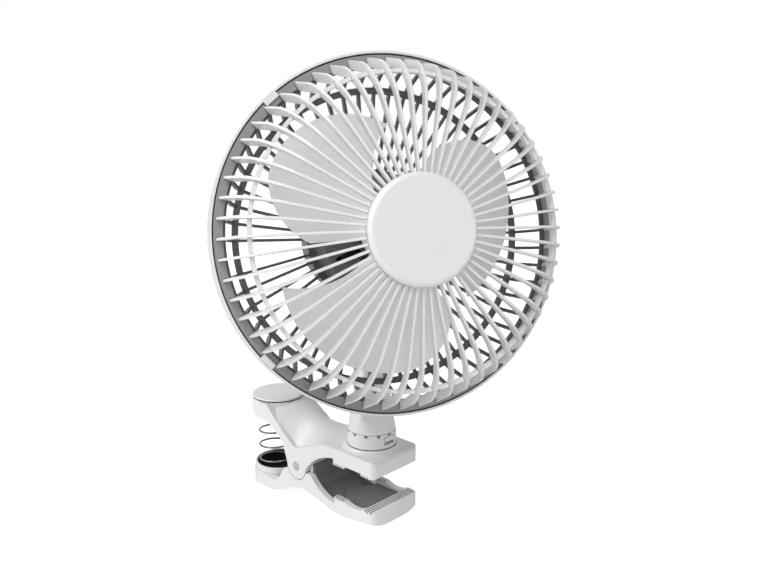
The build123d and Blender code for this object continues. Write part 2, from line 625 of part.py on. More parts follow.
def collar_cuts():
    """Swivel bore, counterbore for the screw, click notches and the front window."""
    bore = SPIGOT_RADIUS + RUNNING
    cut = tube(bore, LEDGE_RISE + LEDGE_THICKNESS, SEAM_Z + PAST)
    cut += tube(COUNTERBORE_RADIUS, -PAST, LEDGE_RISE)
    cut += tube(SWIVEL_SCREW_RADIUS + MOVING_GAP, 0, SEAM_Z)
    notch = block(
        (COLLAR_TOP_RADIUS - NOTCH_DEPTH, COLLAR_TOP_RADIUS + PAST),
        (-NOTCH_WIDTH / 2, NOTCH_WIDTH / 2),
        (SEAM_Z - NOTCH_HEIGHT, SEAM_Z + PAST),
    )
    for turn in around(NOTCH_COUNT):
        cut += turn * notch
    cut += block(
        (-WINDOW_WIDTH / 2, WINDOW_WIDTH / 2),
        (-COLLAR_BASE_RADIUS - PAST, WINDOW_DEPTH - COLLAR_TOP_RADIUS),
        (WINDOW_LOW, WINDOW_LOW + WINDOW_HEIGHT),
    )
    return Pos(0, SWIVEL_Y, 0) * cut


def make_upper_jaw():
    plan = clip_plan(PAD_Y, PAD_RADIUS)
    jaw = side_slab(upper_profile(), HALF_WIDTH) & plan
    jaw = rounded_sides(jaw)
    under_cap = block((-TALL, TALL), (-TALL, TALL), (-TALL, DRUM_TOP))
    jaw += crown(SWIVEL_Y + COLLAR_TOP_RADIUS / 2, 0, 0, CLIP_WALL) & plan & under_cap
    jaw += Pos(0, PAD_Y, 0) * tube(PAD_RADIUS, DRUM_BOTTOM, DRUM_TOP)
    jaw -= upper_hollow() & clip_plan(PAD_Y, PAD_RADIUS, EAR_THICKNESS)
    jaw -= Pos(0, PAD_Y, 0) * tube(PAD_RADIUS - CLIP_WALL, -TALL / 4, DRUM_TOP - CLIP_WALL)
    jaw += Pos(0, SWIVEL_Y, 0) * collar()
    jaw -= collar_cuts()
    front = grooves(NOSE_Y + NOSE_BAND, GROOVES_FRONT, 0, -HALF_WIDTH, HALF_WIDTH)
    rear_y = STEP_Y - GROOVES_REAR * GROOVE_PITCH
    rear = grooves(rear_y, GROOVES_REAR, 0, -HALF_WIDTH, HALF_WIDTH)
    hollow_y = NOSE_Y + NOSE_BAND + GROOVES_FRONT * GROOVE_PITCH
    hollow = block(
        (-HALF_WIDTH, HALF_WIDTH), (hollow_y, rear_y - UPPER_RIM_LAND), (-PAST, UPPER_RIM_HOLLOW)
    )
    pin_hole = cross_bar(PIN_RADIUS + SLIP, -HALF_WIDTH, HALF_WIDTH, PIVOT_Y, PIVOT_Z)
    head_seat = cross_bar(
        PIN_HEAD_RADIUS + SEAM, -HALF_WIDTH, PIN_HEAD_THICKNESS - HALF_WIDTH, PIVOT_Y, PIVOT_Z
    )
    return jaw - front - rear - hollow - pin_hole - head_seat


def make_thumb_cap():
    """Slightly domed cap, set on a smaller disc that leaves a shadow gap under its rim."""
    rim_z = DRUM_TOP + THUMB_CAP_GAP
    flat = PAD_RADIUS - THUMB_CAP_EDGE
    dome_radius = (flat**2 + THUMB_CAP_DOME**2) / (2 * THUMB_CAP_DOME)
    half_rise = sqrt(dome_radius**2 - (flat / 2) ** 2) - dome_radius
    dome = ThreePointArc((flat, -THUMB_CAP_DOME), (flat / 2, half_rise), (0, 0))
    section = Pos(0, PAD_RISE) * dome
    section += Polyline(
        (0, PAD_RISE),
        (0, rim_z),
        (PAD_RADIUS, rim_z),
        (PAD_RADIUS, PAD_RISE - THUMB_CAP_DOME - THUMB_CAP_EDGE),
        (flat, PAD_RISE - THUMB_CAP_DOME),
    )
    cap = revolve(Plane.XZ * make_face(section), Axis.Z)
    cap += tube(PAD_RADIUS - THUMB_CAP_SET_IN, DRUM_TOP, rim_z)
    return Pos(0, PAD_Y, 0) * cap


def make_swivel_detent():
    """Springy tongue in the collar's window, which clicks as the neck turns."""
    low, high = WINDOW_LOW + WINDOW_SLOT, WINDOW_LOW + WINDOW_HEIGHT - SEAM
    back = WINDOW_DEPTH - COLLAR_TOP_RADIUS
    width = WINDOW_WIDTH - 2 * SEAM
    tongue = block((-width / 2, width / 2), (-COLLAR_TOP_RADIUS, back), (low, high))
    return Pos(0, SWIVEL_Y, 0) * tongue


# ---- Clip: hinge and spring ----------------------------------------------------------
def make_hinge_pin():
    end_x = HALF_WIDTH + PIN_CLIP_THICKNESS + PIN_PROUD
    pin = cross_bar(PIN_RADIUS, -HALF_WIDTH, end_x, PIVOT_Y, PIVOT_Z)
    pin += cross_bar(
        PIN_HEAD_RADIUS, -HALF_WIDTH, PIN_HEAD_THICKNESS - HALF_WIDTH, PIVOT_Y, PIVOT_Z
    )
    return pin


def make_pin_clip():
    """Push-on retainer at the pin's plain end."""
    outer_x = HALF_WIDTH + PIN_CLIP_THICKNESS
    clip = cross_bar(PIN_CLIP_RADIUS, HALF_WIDTH, outer_x, PIVOT_Y, PIVOT_Z)
    return clip - cross_bar(PIN_RADIUS, HALF_WIDTH - PAST, outer_x + PAST, PIVOT_Y, PIVOT_Z)


def biarc(start, start_way, end, end_way):
    """Two arcs, tangent to each other, from one point and heading to another."""
    chord = end - start
    ways = start_way + end_way
    a = 4 - ways.dot(ways)
    b = 2 * chord.dot(ways)
    reach = (sqrt(b * b + 4 * a * chord.dot(chord)) - b) / (2 * a)
    first = start + start_way * reach
    last = end - end_way * reach
    join = (first + last) * 0.5
    return [
        TangentArc(start, join, tangent=start_way),
        TangentArc(join, end, tangent=(last - first).normalized()),
    ]


def least_gap(wire, turns, thickness):
    """Least distance between a coil's neighbouring turns, measured on points of it."""
    per_turn = 40
    points = [wire @ (i / (per_turn * turns)) for i in range(int(per_turn * turns) + 1)]
    gaps = [
        (points[i] - points[j]).length
        for i in range(len(points))
        for j in range(i + per_turn // 2, len(points))
    ]
    return min(gaps) - thickness


def make_jaw_spring():
    """Compression spring of real turns, with its ends in the two seats."""
    low = CUP_FLOOR_Z + SPRING_WIRE_RADIUS + SEAM
    high = DRUM_TOP - CLIP_WALL - SPRING_WIRE_RADIUS - SEAM
    rise = (high - low) / radians(360 * SPRING_TURNS)
    steps = int(SPRING_TURNS * SPRING_COIL_STEPS)

    def place(t):
        angle = radians(SPRING_START + 360 * SPRING_TURNS * t)
        point = Vector(
            SPRING_RADIUS * cos(angle), SPRING_RADIUS * sin(angle), low + (high - low) * t
        )
        way = Vector(-SPRING_RADIUS * sin(angle), SPRING_RADIUS * cos(angle), rise)
        return point, way.normalized()

    arcs = []
    for i in range(steps):
        arcs += biarc(*place(i / steps), *place((i + 1) / steps))
    wire = Wire(arcs)
    gap = least_gap(wire, SPRING_TURNS, 2 * SPRING_WIRE_RADIUS)
    print("spring: least gap between turns", round(gap, 2))
    section = Plane(origin=wire @ 0, z_dir=wire % 0) * Circle(SPRING_WIRE_RADIUS)
    return Pos(0, PAD_Y, 0) * sweep(section, path=wire)


# ---- Clip: lower jaw -----------------------------------------------------------------
def lower_underside():
    """Underside of the lower jaw from the tray to its rounded end."""
    low = LEVER_BOTTOM - LEVER_DROP
    return [
        (TRAY_END_Y, TRAY_BOTTOM, TRAY_BEND),
        (LEVER_FRONT_Y, LEVER_BOTTOM, TRAY_BEND),
        (PIVOT_Y, LEVER_BOTTOM, LEVER_BEND),
        (LEVER_BEND_Y, low, LEVER_BEND),
        (PAD_Y + BASE_RADIUS + PAST, low - LEVER_END_DROP, 0),
    ]


def lower_profile():
    """Side view of the lower jaw: tray, round throat, ear relief and falling lever."""
    throat_top = (PIVOT_Y - EAR_RADIUS - THROAT_TOP_AHEAD, PIVOT_Z - THROAT_TOP_DROP)
    step = (LOWER_STEP_Y, RIM_Z - LOWER_STEP_DEPTH)
    first_drop, middle_drop, last_drop = LOWER_SIDE_DROPS
    corners = [
        (LOWER_STEP_Y, RIM_Z, 0),
        (NOSE_Y, RIM_Z, NOSE_LIP_RADIUS),
        (NOSE_Y, TRAY_BOTTOM - KEEL_DROP, NOSE_KEEL_RADIUS),
    ]
    corners += lower_underside()
    corners += [
        (PAD_Y + BASE_RADIUS + PAST, CUP_RIM_Z - BASE_STEP, 0),
        (PAD_Y - CUP_RADIUS, CUP_RIM_Z - BASE_STEP, CUP_FOOT_BEND),
        (PIVOT_Y + 2 * EAR_RADIUS, PIVOT_Z - last_drop, LOWER_SIDE_BEND),
        (PIVOT_Y + 1.5 * EAR_RADIUS, PIVOT_Z - middle_drop, LOWER_SIDE_BEND),
        (PIVOT_Y + EAR_RADIUS, PIVOT_Z - first_drop, 0),
        throat_top + (0,),
    ]
    points = [step] + [(y, z) for y, z, _ in corners]
    edge = FilletPolyline(*points, radius=[r for _, _, r in corners[:-1]])
    edge += bowed(throat_top, step, -LOWER_THROAT_SAG)
    return make_face(edge)


def keel_form():
    """A long form with a round underside, which sinks away behind the nose."""
    half = CLIP_WIDTH
    low = TRAY_BOTTOM - KEEL_DROP
    side = low + KEEL_RADIUS - sqrt(KEEL_RADIUS**2 - half**2)
    start = NOSE_Y - KEEL_RUN_IN
    shift = KEEL_SLOPE * KEEL_RUN_IN
    edge = ThreePointArc((-half, side + shift), (0, low + shift), (half, side + shift))
    edge += Polyline(
        (half, side + shift), (half, TALL / 4), (-half, TALL / 4), (-half, side + shift)
    )
    face = Plane(origin=(0, start, 0), x_dir=(1, 0, 0), z_dir=(0, -1, 0)) * make_face(edge)
    return extrude(face, amount=TALL / 2, dir=(0, 1, -KEEL_SLOPE))


def tray_hollow():
    """Inside of the gripping tray, open upwards, in front of the bulkhead."""
    half = HALF_WIDTH - TRAY_RIM
    plan = outline(
        [
            (-half, TRAY_FRONT_Y, TRAY_CORNER),
            (half, TRAY_FRONT_Y, TRAY_CORNER),
            (half, BULKHEAD_Y, 0),
            (-half, BULKHEAD_Y, 0),
        ]
    )
    floor = outline(
        [
            (NOSE_Y, TRAY_BOTTOM + TRAY_FLOOR, 0),
            (TRAY_END_Y, TRAY_BOTTOM + TRAY_FLOOR, LEVER_BEND),
            (LEVER_FRONT_Y, LEVER_BOTTOM + TRAY_FLOOR, 0),
            (LEVER_FRONT_Y, TALL / 4, 0),
            (NOSE_Y, TALL / 4, 0),
        ]
    )
    column = Pos(0, 0, -TALL / 2) * extrude(plan, amount=TALL)
    return column & side_slab(floor, half)


def lever_hollow():
    """Inside of the lower lever, open upwards, between bulkhead and spring cup."""
    front_y = BULKHEAD_Y + BULKHEAD_THICKNESS
    floor = outline(
        [
            (front_y, LEVER_BOTTOM + TRAY_FLOOR, 0),
            (PIVOT_Y, LEVER_BOTTOM + TRAY_FLOOR, LEVER_FLOOR_BEND),
            (LEVER_BEND_Y, LEVER_BOTTOM - LEVER_DROP + TRAY_FLOOR, 0),
            (PAD_Y, LEVER_BOTTOM - LEVER_DROP + TRAY_FLOOR, 0),
            (PAD_Y, TALL / 4, 0),
            (front_y, TALL / 4, 0),
        ]
    )
    return side_slab(floor, CHEEK_INNER)


def bulkhead():
    """Upright wall between the tray and the hinge, as wide as the cheeks."""
    return block(
        (-CHEEK_OUTER, CHEEK_OUTER),
        (BULKHEAD_Y, BULKHEAD_Y + BULKHEAD_THICKNESS),
        (LEVER_BOTTOM + PAST, PIVOT_Z + BULKHEAD_RISE),
    )


def cheek(side):
    """One of the two lugs that turn on the hinge pin."""
    width = sorted((side * CHEEK_INNER, side * CHEEK_OUTER))
    lug = cross_bar(CHEEK_RADIUS, width[0], width[1], PIVOT_Y, PIVOT_Z)
    lug += block(
        width,
        (BULKHEAD_Y + BULKHEAD_THICKNESS / 2, PIVOT_Y + CHEEK_RADIUS),
        (LEVER_BOTTOM + PAST, PIVOT_Z),
    )
    return lug


def make_lower_jaw():
    plan = clip_plan(PAD_Y, BASE_RADIUS)
    cup_place = Pos(0, PAD_Y, 0)
    jaw = side_slab(lower_profile(), HALF_WIDTH) & plan & keel_form()
    jaw -= lever_hollow()
    jaw -= tray_hollow()
    jaw += cup_place * tube(CUP_RADIUS, CUP_HOLE_FLOOR - TRAY_FLOOR + PAST, CUP_RIM_Z)
    jaw -= cup_place * tube(CUP_RADIUS - CUP_WALL, CUP_HOLE_FLOOR, CUP_RIM_Z + PAST)
    jaw += bulkhead()
    relief = EAR_RADIUS + MOVING_GAP
    for side in (-1, 1):
        outside = sorted((side * CHEEK_OUTER, side * (HALF_WIDTH + PAST)))
        jaw -= cross_bar(relief, outside[0], outside[1], PIVOT_Y, PIVOT_Z)
        jaw += cheek(side)
    front_y = NOSE_Y + LOWER_NOSE_BAND
    rear_y = LOWER_STEP_Y - GROOVES_REAR * GROOVE_PITCH
    jaw -= grooves(front_y, GROOVES_FRONT, RIM_Z, -HALF_WIDTH, HALF_WIDTH)
    jaw -= grooves(rear_y, GROOVES_REAR, RIM_Z, -HALF_WIDTH, HALF_WIDTH)
    jaw -= rim_hollow(front_y + GROOVES_FRONT * GROOVE_PITCH, rear_y)
    return jaw - cross_bar(PIN_RADIUS + RUNNING, -HALF_WIDTH, HALF_WIDTH, PIVOT_Y, PIVOT_Z)


def rim_hollow(low_y, high_y):
    """Shallow curved hollow in the tray's rim, for gripping a round bar."""
    middle = (low_y + high_y) / 2
    over = RIM_Z + PAST
    edge = ThreePointArc((low_y, RIM_Z), (middle, RIM_Z - RIM_HOLLOW), (high_y, RIM_Z))
    edge += Polyline((high_y, RIM_Z), (high_y, over), (low_y, over), (low_y, RIM_Z))
    return side_slab(make_face(edge), HALF_WIDTH)


def make_tray_liner():
    """Dark grippy liner in the lower jaw's tray: floor, raised step and rear wall."""
    half = HALF_WIDTH - TRAY_RIM - SEAM
    front_y = TRAY_FRONT_Y + SEAM
    back_y = BULKHEAD_Y - SEAM / 4
    wall_y = back_y - LINER_THICKNESS
    wall_top = PIVOT_Z + BULKHEAD_RISE - LINER_UNDER_BULKHEAD
    floor = TRAY_BOTTOM + TRAY_FLOOR + SEAM / 4
    rear_floor = LEVER_BOTTOM + TRAY_FLOOR + SEAM / 4
    corner = TRAY_CORNER - SEAM
    plan = outline(
        [(-half, front_y, corner), (half, front_y, corner), (half, back_y, 0), (-half, back_y, 0)]
    )
    column = Pos(0, 0, -TALL / 2) * extrude(plan, amount=TALL)
    skin = outline(
        [
            (NOSE_Y, floor, 0),
            (TRAY_END_Y, floor, LEVER_BEND),
            (LEVER_FRONT_Y, rear_floor, 0),
            (LEVER_FRONT_Y, wall_top, 0),
            (wall_y, wall_top, 0),
            (wall_y, rear_floor + LINER_THICKNESS, LINER_BEND),
            (TRAY_END_Y, floor + LINER_THICKNESS, LEVER_BEND),
            (NOSE_Y, floor + LINER_THICKNESS, 0),
        ]
    )
    liner = column & side_slab(skin, half)
    top = floor + LINER_THICKNESS + LINER_STEP
    floor_slope = (rear_floor - floor) / (LEVER_FRONT_Y - TRAY_END_Y)
    pad_end_y = TRAY_END_Y + (top - floor) / floor_slope
    tread = outline(
        [
            (NOSE_Y, floor, 0),
            (TRAY_END_Y, floor, LEVER_BEND),
            (pad_end_y, top, 0),
            (NOSE_Y, top, 0),
        ]
    )
    pad = side_slab(tread, half) & column
    step_y = NOSE_Y + LINER_NARROW_FROM_NOSE
    edge_x = 2 * liner_channel_x()
    for side in (-1, 1):
        outside = sorted((side * edge_x, side * (half + PAST)))
        pad -= block(outside, (step_y, BULKHEAD_Y), (floor - PAST, top + PAST))
    pad -= liner_channels(top)
    return liner + pad


def liner_channel_x():
    """Middle of each channel, so that the two meet in a crest at the middle of the pad."""
    return sqrt(
        LINER_CHANNEL_RADIUS**2 - (LINER_CHANNEL_RADIUS - LINER_CHANNEL_DEPTH) ** 2
    )


def liner_channels(top):
    """Two hollow channels along the pad, their front ends slanting back to its middle."""
    channel_x = liner_channel_x()
    axis_z = top - LINER_CHANNEL_DEPTH + LINER_CHANNEL_RADIUS
    bars = []
    for side in (-1, 1):
        bar = tube(LINER_CHANNEL_RADIUS, -PIVOT_Y, 0)
        bars.append(Pos(side * channel_x, 0, axis_z) * Rot(90, 0, 0) * bar)
    front_y = NOSE_Y + LINER_V_FRONT
    back_y = NOSE_Y + LINER_V_BACK
    edge_x = 2 * channel_x
    plan = Polyline(
        (0, back_y),
        (edge_x, front_y),
        (edge_x + PAST, PIVOT_Y),
        (-edge_x - PAST, PIVOT_Y),
        (-edge_x, front_y),
        close=True,
    )
    zone = Pos(0, 0, -TALL / 2) * extrude(make_face(plan), amount=TALL)
    return (bars[0] + bars[1]) & zone


def make_spring_cup():
    """Dark cup insert that seats the spring's lower end."""
    outer = CUP_RADIUS - CUP_WALL - SEAM / 2
    cup = tube(outer, CUP_HOLE_FLOOR, CUP_RIM_Z - CUP_INSERT_DROP)
    cup -= tube(outer - CUP_INSERT_WALL, CUP_FLOOR_Z, CUP_RIM_Z + PAST)
    return Pos(0, PAD_Y, 0) * cup


# ---- Neck, turned with the head ------------------------------------------------------
def make_neck():
    """Neck from its round foot through a square taper to the fork."""
    foot = SEAM_Z + SEAM
    square_z = foot + NECK_FOOT_HEIGHT
    taper_z = SEAM_Z + NECK_TAPER_HEIGHT
    span = 2 * COLLAR_TOP_RADIUS - SEAM
    round_foot = Pos(0, 0, foot) * RectangleRounded(span, span, (span - SEAM) / 2)
    square = Pos(0, 0, square_z) * RectangleRounded(
        NECK_FOOT_WIDTH, NECK_FOOT_DEPTH, NECK_CORNER
    )
    slim = Pos(0, 0, taper_z) * RectangleRounded(NECK_WIDTH, NECK_DEPTH, NECK_CORNER)
    neck = loft([round_foot, square], ruled=True)
    neck += loft([square, slim], ruled=True)
    neck += extrude(slim, amount=TILT_Z - taper_z)
    neck += cross_bar(FORK_RADIUS, -NECK_WIDTH / 2, NECK_WIDTH / 2, 0, TILT_Z)
    slot = LUG_THICKNESS / 2 + FRICTION_WASHER + 2 * RUNNING
    slot_floor = TILT_Z - FORK_RADIUS - FORK_SLOT_ROOM
    neck -= block((-slot, slot), (-TALL / 8, TALL / 8), (slot_floor, TILT_Z + TALL / 8))
    neck += tube(SPIGOT_RADIUS, LEDGE_RISE + LEDGE_THICKNESS + SEAM, foot + MERGE)
    neck -= tube(SWIVEL_SCREW_RADIUS + SLIP, 0, SEAM_Z + SWIVEL_SCREW_RISE + MERGE)
    neck -= cross_bar(BOLT_RADIUS + RUNNING, -TALL / 8, TALL / 8, 0, TILT_Z)
    return SWIVEL * neck


def make_swivel_screw():
    top = LEDGE_RISE - SEAM - SWIVEL_WASHER_THICKNESS
    low = top - SWIVEL_HEAD_HEIGHT
    screw = tube(SWIVEL_SCREW_RADIUS, top - MERGE, SEAM_Z + SWIVEL_SCREW_RISE)
    screw += tube(SWIVEL_HEAD_RADIUS, low, top)
    slot = block(
        (-DRIVE_SLOT / 2, DRIVE_SLOT / 2), (-TALL / 8, TALL / 8), (low - PAST, low + DRIVE_SLOT)
    )
    cross = slot + Rot(0, 0, 90) * slot
    return SWIVEL * (screw - (cross & tube(DRIVE_RADIUS, -TALL / 8, TALL / 8)))


def make_swivel_washer():
    top = LEDGE_RISE - SEAM
    return SWIVEL * tube(
        SWIVEL_WASHER_RADIUS, top - SWIVEL_WASHER_THICKNESS, top, SWIVEL_SCREW_RADIUS + SLIP
    )


def make_tilt_bolt():
    head_x = -NECK_WIDTH / 2
    face_x = head_x - BOLT_HEAD_HEIGHT
    end_x = NECK_WIDTH / 2 + TILT_NUT_HEIGHT + BOLT_PROUD
    bolt = cross_bar(BOLT_RADIUS, head_x - MERGE, end_x, 0, TILT_Z)
    bolt += cross_bar(BOLT_HEAD_RADIUS, face_x, head_x, 0, TILT_Z)
    slot = block(
        (face_x - PAST, face_x + DRIVE_SLOT),
        (-TALL / 8, TALL / 8),
        (TILT_Z - DRIVE_SLOT / 2, TILT_Z + DRIVE_SLOT / 2),
    )
    return SWIVEL * (bolt - slot)


def make_tilt_nut():
    base_x = NECK_WIDTH / 2
    face = RegularPolygon(BOLT_HEAD_RADIUS, 6)
    nut = Pos(base_x, 0, TILT_Z) * Rot(0, 90, 0) * extrude(face, amount=TILT_NUT_HEIGHT)
    hole_end = base_x + TILT_NUT_HEIGHT + PAST
    nut -= cross_bar(BOLT_RADIUS + SLIP, base_x - PAST, hole_end, 0, TILT_Z)
    return SWIVEL * nut


def make_tilt_washers():
    washers = []
    for side in (-1, 1):
        low = LUG_THICKNESS / 2 + RUNNING
        ends = sorted((side * low, side * (low + FRICTION_WASHER)))
        radius = FORK_RADIUS - FRICTION_WASHER_SET_IN
        washer = cross_bar(radius, ends[0], ends[1], 0, TILT_Z)
        washer -= cross_bar(BOLT_RADIUS + SLIP, ends[0] - PAST, ends[1] + PAST, 0, TILT_Z)
        washers.append(SWIVEL * washer)
    return Compound(children=washers)


# ---- Cage ----------------------------------------------------------------------------
def rib(profile, thickness):
    """One radial rib from its (radius, z, corner radius) outline."""
    return extrude(Plane.XZ * outline(profile), amount=thickness / 2, both=True)


def front_rib():
    outer = RIB_CORNER_RADIUS
    return rib(
        [
            (FRONT_RIB_ROOT, FLANGE_FACE, 0),
            (outer, CAGE_FRONT, CAGE_CORNER),
            (HUB_DISC_RADIUS - RIB_OVERLAP, HUB_FRONT, 0),
            (HUB_DISC_RADIUS - RIB_OVERLAP, HUB_FRONT - FRONT_RIB_HUB_DEPTH, 0),
            (outer - FRONT_RIB_DEPTH, CAGE_FRONT - FRONT_RIB_DEPTH, CAGE_CORNER - FRONT_RIB_DEPTH),
            (FRONT_RIB_ROOT - FRONT_RIB_DEPTH, FLANGE_FACE, 0),
        ],
        FRONT_RIB_THICKNESS,
    )


def make_front_grille():
    top = HUB_FRONT - HUB_DISC_SET_BACK
    grille = tube(HUB_DISC_RADIUS, top - HUB_DISC_THICKNESS, top)
    grille += tube(
        FRONT_RING_RADIUS + FRONT_RING_WIDTH / 2,
        FRONT_RING_FRONT - FRONT_RING_DEPTH,
        FRONT_RING_FRONT,
        FRONT_RING_RADIUS - FRONT_RING_WIDTH / 2,
    )
    ribs = [turn * front_rib() for turn in around(RIB_COUNT, RIB_START)]
    grille += ribs
    for turn in around(CAP_LEG_COUNT, 90):
        grille -= turn * cap_leg(SEAM)
    return HEAD * grille


def cap_leg(clearance):
    """A snap leg of the hub cap, or with clearance the slot that it goes into."""
    half_width = CAP_LEG_WIDTH / 2 + clearance
    half_thick = CAP_LEG_THICKNESS / 2 + clearance
    return block(
        (CAP_LEG_RADIUS - half_thick, CAP_LEG_RADIUS + half_thick),
        (-half_width, half_width),
        (HUB_FRONT - HUB_DISC_SET_BACK - HUB_DISC_THICKNESS - CAP_LEG_PAST, HUB_FRONT + MERGE),
    )


def make_hub_cap():
    back = HUB_FRONT + SEAM / 2
    cap = tube(CAP_RADIUS, back, back + CAP_THICKNESS)
    cap = fillet(cap.edges().sort_by(Axis.Z)[-1], CAP_EDGE)
    for turn in around(CAP_LEG_COUNT, 90):
        cap += turn * cap_leg(0)
    return HEAD * cap


def make_front_flange():
    """Grey flange ring on which the front ribs stand."""
    return HEAD * tube(FLANGE_OUTER, FLANGE_BACK, FLANGE_FACE, FLANGE_INNER_RADIUS)


def make_rim_band():
    """White band round both grilles, with a lip behind and hooks in front."""
    band = tube(RING_RADIUS, -BAND_DEPTH, 0, BAND_INNER)
    rooted = BAND_INNER + BAND_THICKNESS / 4
    lip_front = RIM_BACK - SEAM
    band += tube(rooted, lip_front - BAND_THICKNESS, lip_front, BAND_INNER - BAND_LIP)
    hook_ring = tube(rooted, FLANGE_FACE + SEAM / 2, HOOK_PROUD, FLANGE_OUTER - HOOK_REACH)
    for turn in around(HOOK_COUNT, HOOK_ANGLE):
        sector = block((0, TALL), (-HOOK_WIDTH / 2, HOOK_WIDTH / 2), (-BAND_DEPTH, BAND_DEPTH))
        band += hook_ring & (turn * sector)
    return HEAD * band


def rear_rib():
    bend_r = REAR_RING_RADIUS + REAR_RING_WIDTH / 2
    return rib(
        [
            (FLANGE_INNER_RADIUS + REAR_RIB_PROUD, FLANGE_BACK - MERGE, 0),
            (bend_r + REAR_BEND_OUTSIDE, REAR_BEND_Z, REAR_BEND_RADIUS),
            (PLATE_RADIUS - RIB_OVERLAP, PLATE_BACK, 0),
            (PLATE_RADIUS - RIB_OVERLAP, PLATE_FRONT, 0),
            (
                bend_r - REAR_BEND_INSIDE,
                REAR_BEND_Z + REAR_RIB_DEPTH,
                REAR_BEND_RADIUS - REAR_RIB_DEPTH,
            ),
            (FLANGE_INNER_RADIUS - RIM_SET_IN, FLANGE_BACK - MERGE, 0),
        ],
        REAR_RIB_THICKNESS,
    )


def make_rear_grille():
    grille = tube(PLATE_RADIUS, PLATE_BACK, PLATE_FRONT, PLATE_OPENING)
    ring_back = REAR_BEND_Z + REAR_RIB_DEPTH - REAR_RING_SET_BACK
    grille += tube(
        REAR_RING_RADIUS + REAR_RING_WIDTH / 2,
        ring_back,
        ring_back + REAR_RING_THICKNESS,
        REAR_RING_RADIUS - REAR_RING_WIDTH / 2,
    )
    rim_inner = FLANGE_INNER_RADIUS - RIM_SET_IN
    grille += tube(BAND_INNER - SEAM, RIM_BACK, FLANGE_BACK - SEAM / 4, rim_inner)
    grille += [turn * rear_rib() for turn in around(RIB_COUNT, RIB_START)]
    for side in (-1, 1):
        inner_x = MOTOR_SCREW_X - PLATE_ARM_PAST
        outer_x = PLATE_OPENING + RIB_OVERLAP
        screw_place = Pos(side * MOTOR_SCREW_X, 0, 0)
        grille += block(
            sorted((side * inner_x, side * outer_x)),
            (-PLATE_ARM_WIDTH / 2, PLATE_ARM_WIDTH / 2),
            (PLATE_BACK, PLATE_FRONT),
        )
        grille += screw_place * tube(
            PLATE_FOOT_RADIUS, FRONT_BRACKET_FRONT + SEAM / 4, PLATE_BACK + MERGE
        )
        grille -= screw_place * tube(
            MOTOR_SCREW_RADIUS + SLIP, FRONT_BRACKET_FRONT - PAST, PLATE_FRONT + PAST
        )
    for turn in around(COVER_SCREW_COUNT, COVER_BOSS_START):
        grille -= turn * Pos(COVER_SCREW_CIRCLE, 0, 0) * tube(
            COVER_SCREW_RADIUS + SLIP, PLATE_BACK - PAST, PLATE_FRONT + PAST
        )
    return HEAD * grille


# ---- Motor housing -------------------------------------------------------------------
def make_motor_front_cover():
    """Dark vented cup in front of the motor plate, inside the cage."""
    back = PLATE_FRONT + SEAM / 4
    front = back + FRONT_COVER_DEPTH
    cup = spun(
        [(0, back), (FRONT_COVER_RADIUS, back), (FRONT_COVER_FACE_RADIUS, front), (0, front)]
    )
    wall = COVER_WALL
    cup -= spun(
        [
            (0, back - PAST),
            (FRONT_COVER_RADIUS - wall, back - PAST),
            (FRONT_COVER_FACE_RADIUS - wall, front - wall),
            (0, front - wall),
        ]
    )
    cup -= tube(BEARING_HOLDER_RADIUS + FRONT_COVER_BORE_ROOM, back, front + PAST)
    vent = block(
        (FRONT_VENT_INNER, FRONT_VENT_OUTER),
        (-FRONT_VENT_WIDTH / 2, FRONT_VENT_WIDTH / 2),
        (front - wall - PAST, front + PAST),
    )
    for turn in around(FRONT_VENT_COUNT):
        cup -= turn * vent
    return HEAD * cup


def make_motor_rear_cover():
    """Round housing behind the cage, with the lug that the neck's fork holds."""
    shell = tube(COVER_RADIUS, COVER_BACK, COVER_FRONT - SEAM / 4)
    shell = fillet(shell.edges().sort_by(Axis.Z)[0], COVER_EDGE)
    inner = tube(COVER_INNER, COVER_BACK + COVER_WALL, COVER_FRONT + PAST)
    inner = fillet(inner.edges().sort_by(Axis.Z)[0], COVER_EDGE - COVER_WALL)
    shell -= inner
    front = COVER_FRONT - SEAM / 4
    for turn in around(COVER_SCREW_COUNT, COVER_BOSS_START):
        place = turn * Pos(COVER_SCREW_CIRCLE, 0, 0)
        shell += place * tube(COVER_BOSS_RADIUS, COVER_BACK + COVER_WALL, front)
        shell -= place * tube(COVER_SCREW_RADIUS + SLIP, COVER_BACK - PAST, front + PAST)
        shell -= place * tube(
            COVER_SCREW_HEAD + SEAM, COVER_BACK - PAST, COVER_BACK + COVER_SCREW_SEAT
        )
    for turn in around(VENT_COUNT, 180 / VENT_COUNT):
        vent = block(
            (VENT_INNER, VENT_OUTER),
            (-VENT_WIDTH / 2, VENT_WIDTH / 2),
            (COVER_BACK - PAST, COVER_BACK + COVER_WALL + PAST),
        )
        if keeps_clear(turn):
            shell -= turn * vent
    lug = cross_bar(LUG_RADIUS, -LUG_THICKNESS / 2, LUG_THICKNESS / 2, -TILT_BELOW_AXIS, 0)
    lug += block(
        (-LUG_THICKNESS / 2, LUG_THICKNESS / 2),
        (-TILT_BELOW_AXIS, -COVER_RADIUS + COVER_WALL / 2),
        (-LUG_RADIUS, LUG_RADIUS),
    )
    lug -= cross_bar(BOLT_RADIUS + RUNNING, -TALL / 8, TALL / 8, -TILT_BELOW_AXIS, 0)
    shell += Pos(0, 0, -TILT_BEHIND_RING) * lug
    shell -= Pos(0, KNOB_RISE, 0) * tube(
        KNOB_STEM_RADIUS + MOVING_GAP, COVER_BACK - PAST, COVER_BACK + COVER_WALL + PAST
    )
    shell -= Pos(0, -INLET_DROP, 0) * tube(
        INLET_RADIUS - INLET_FLANGE + SLIP, COVER_BACK - PAST, COVER_BACK + COVER_WALL + PAST
    )
    return HEAD * shell


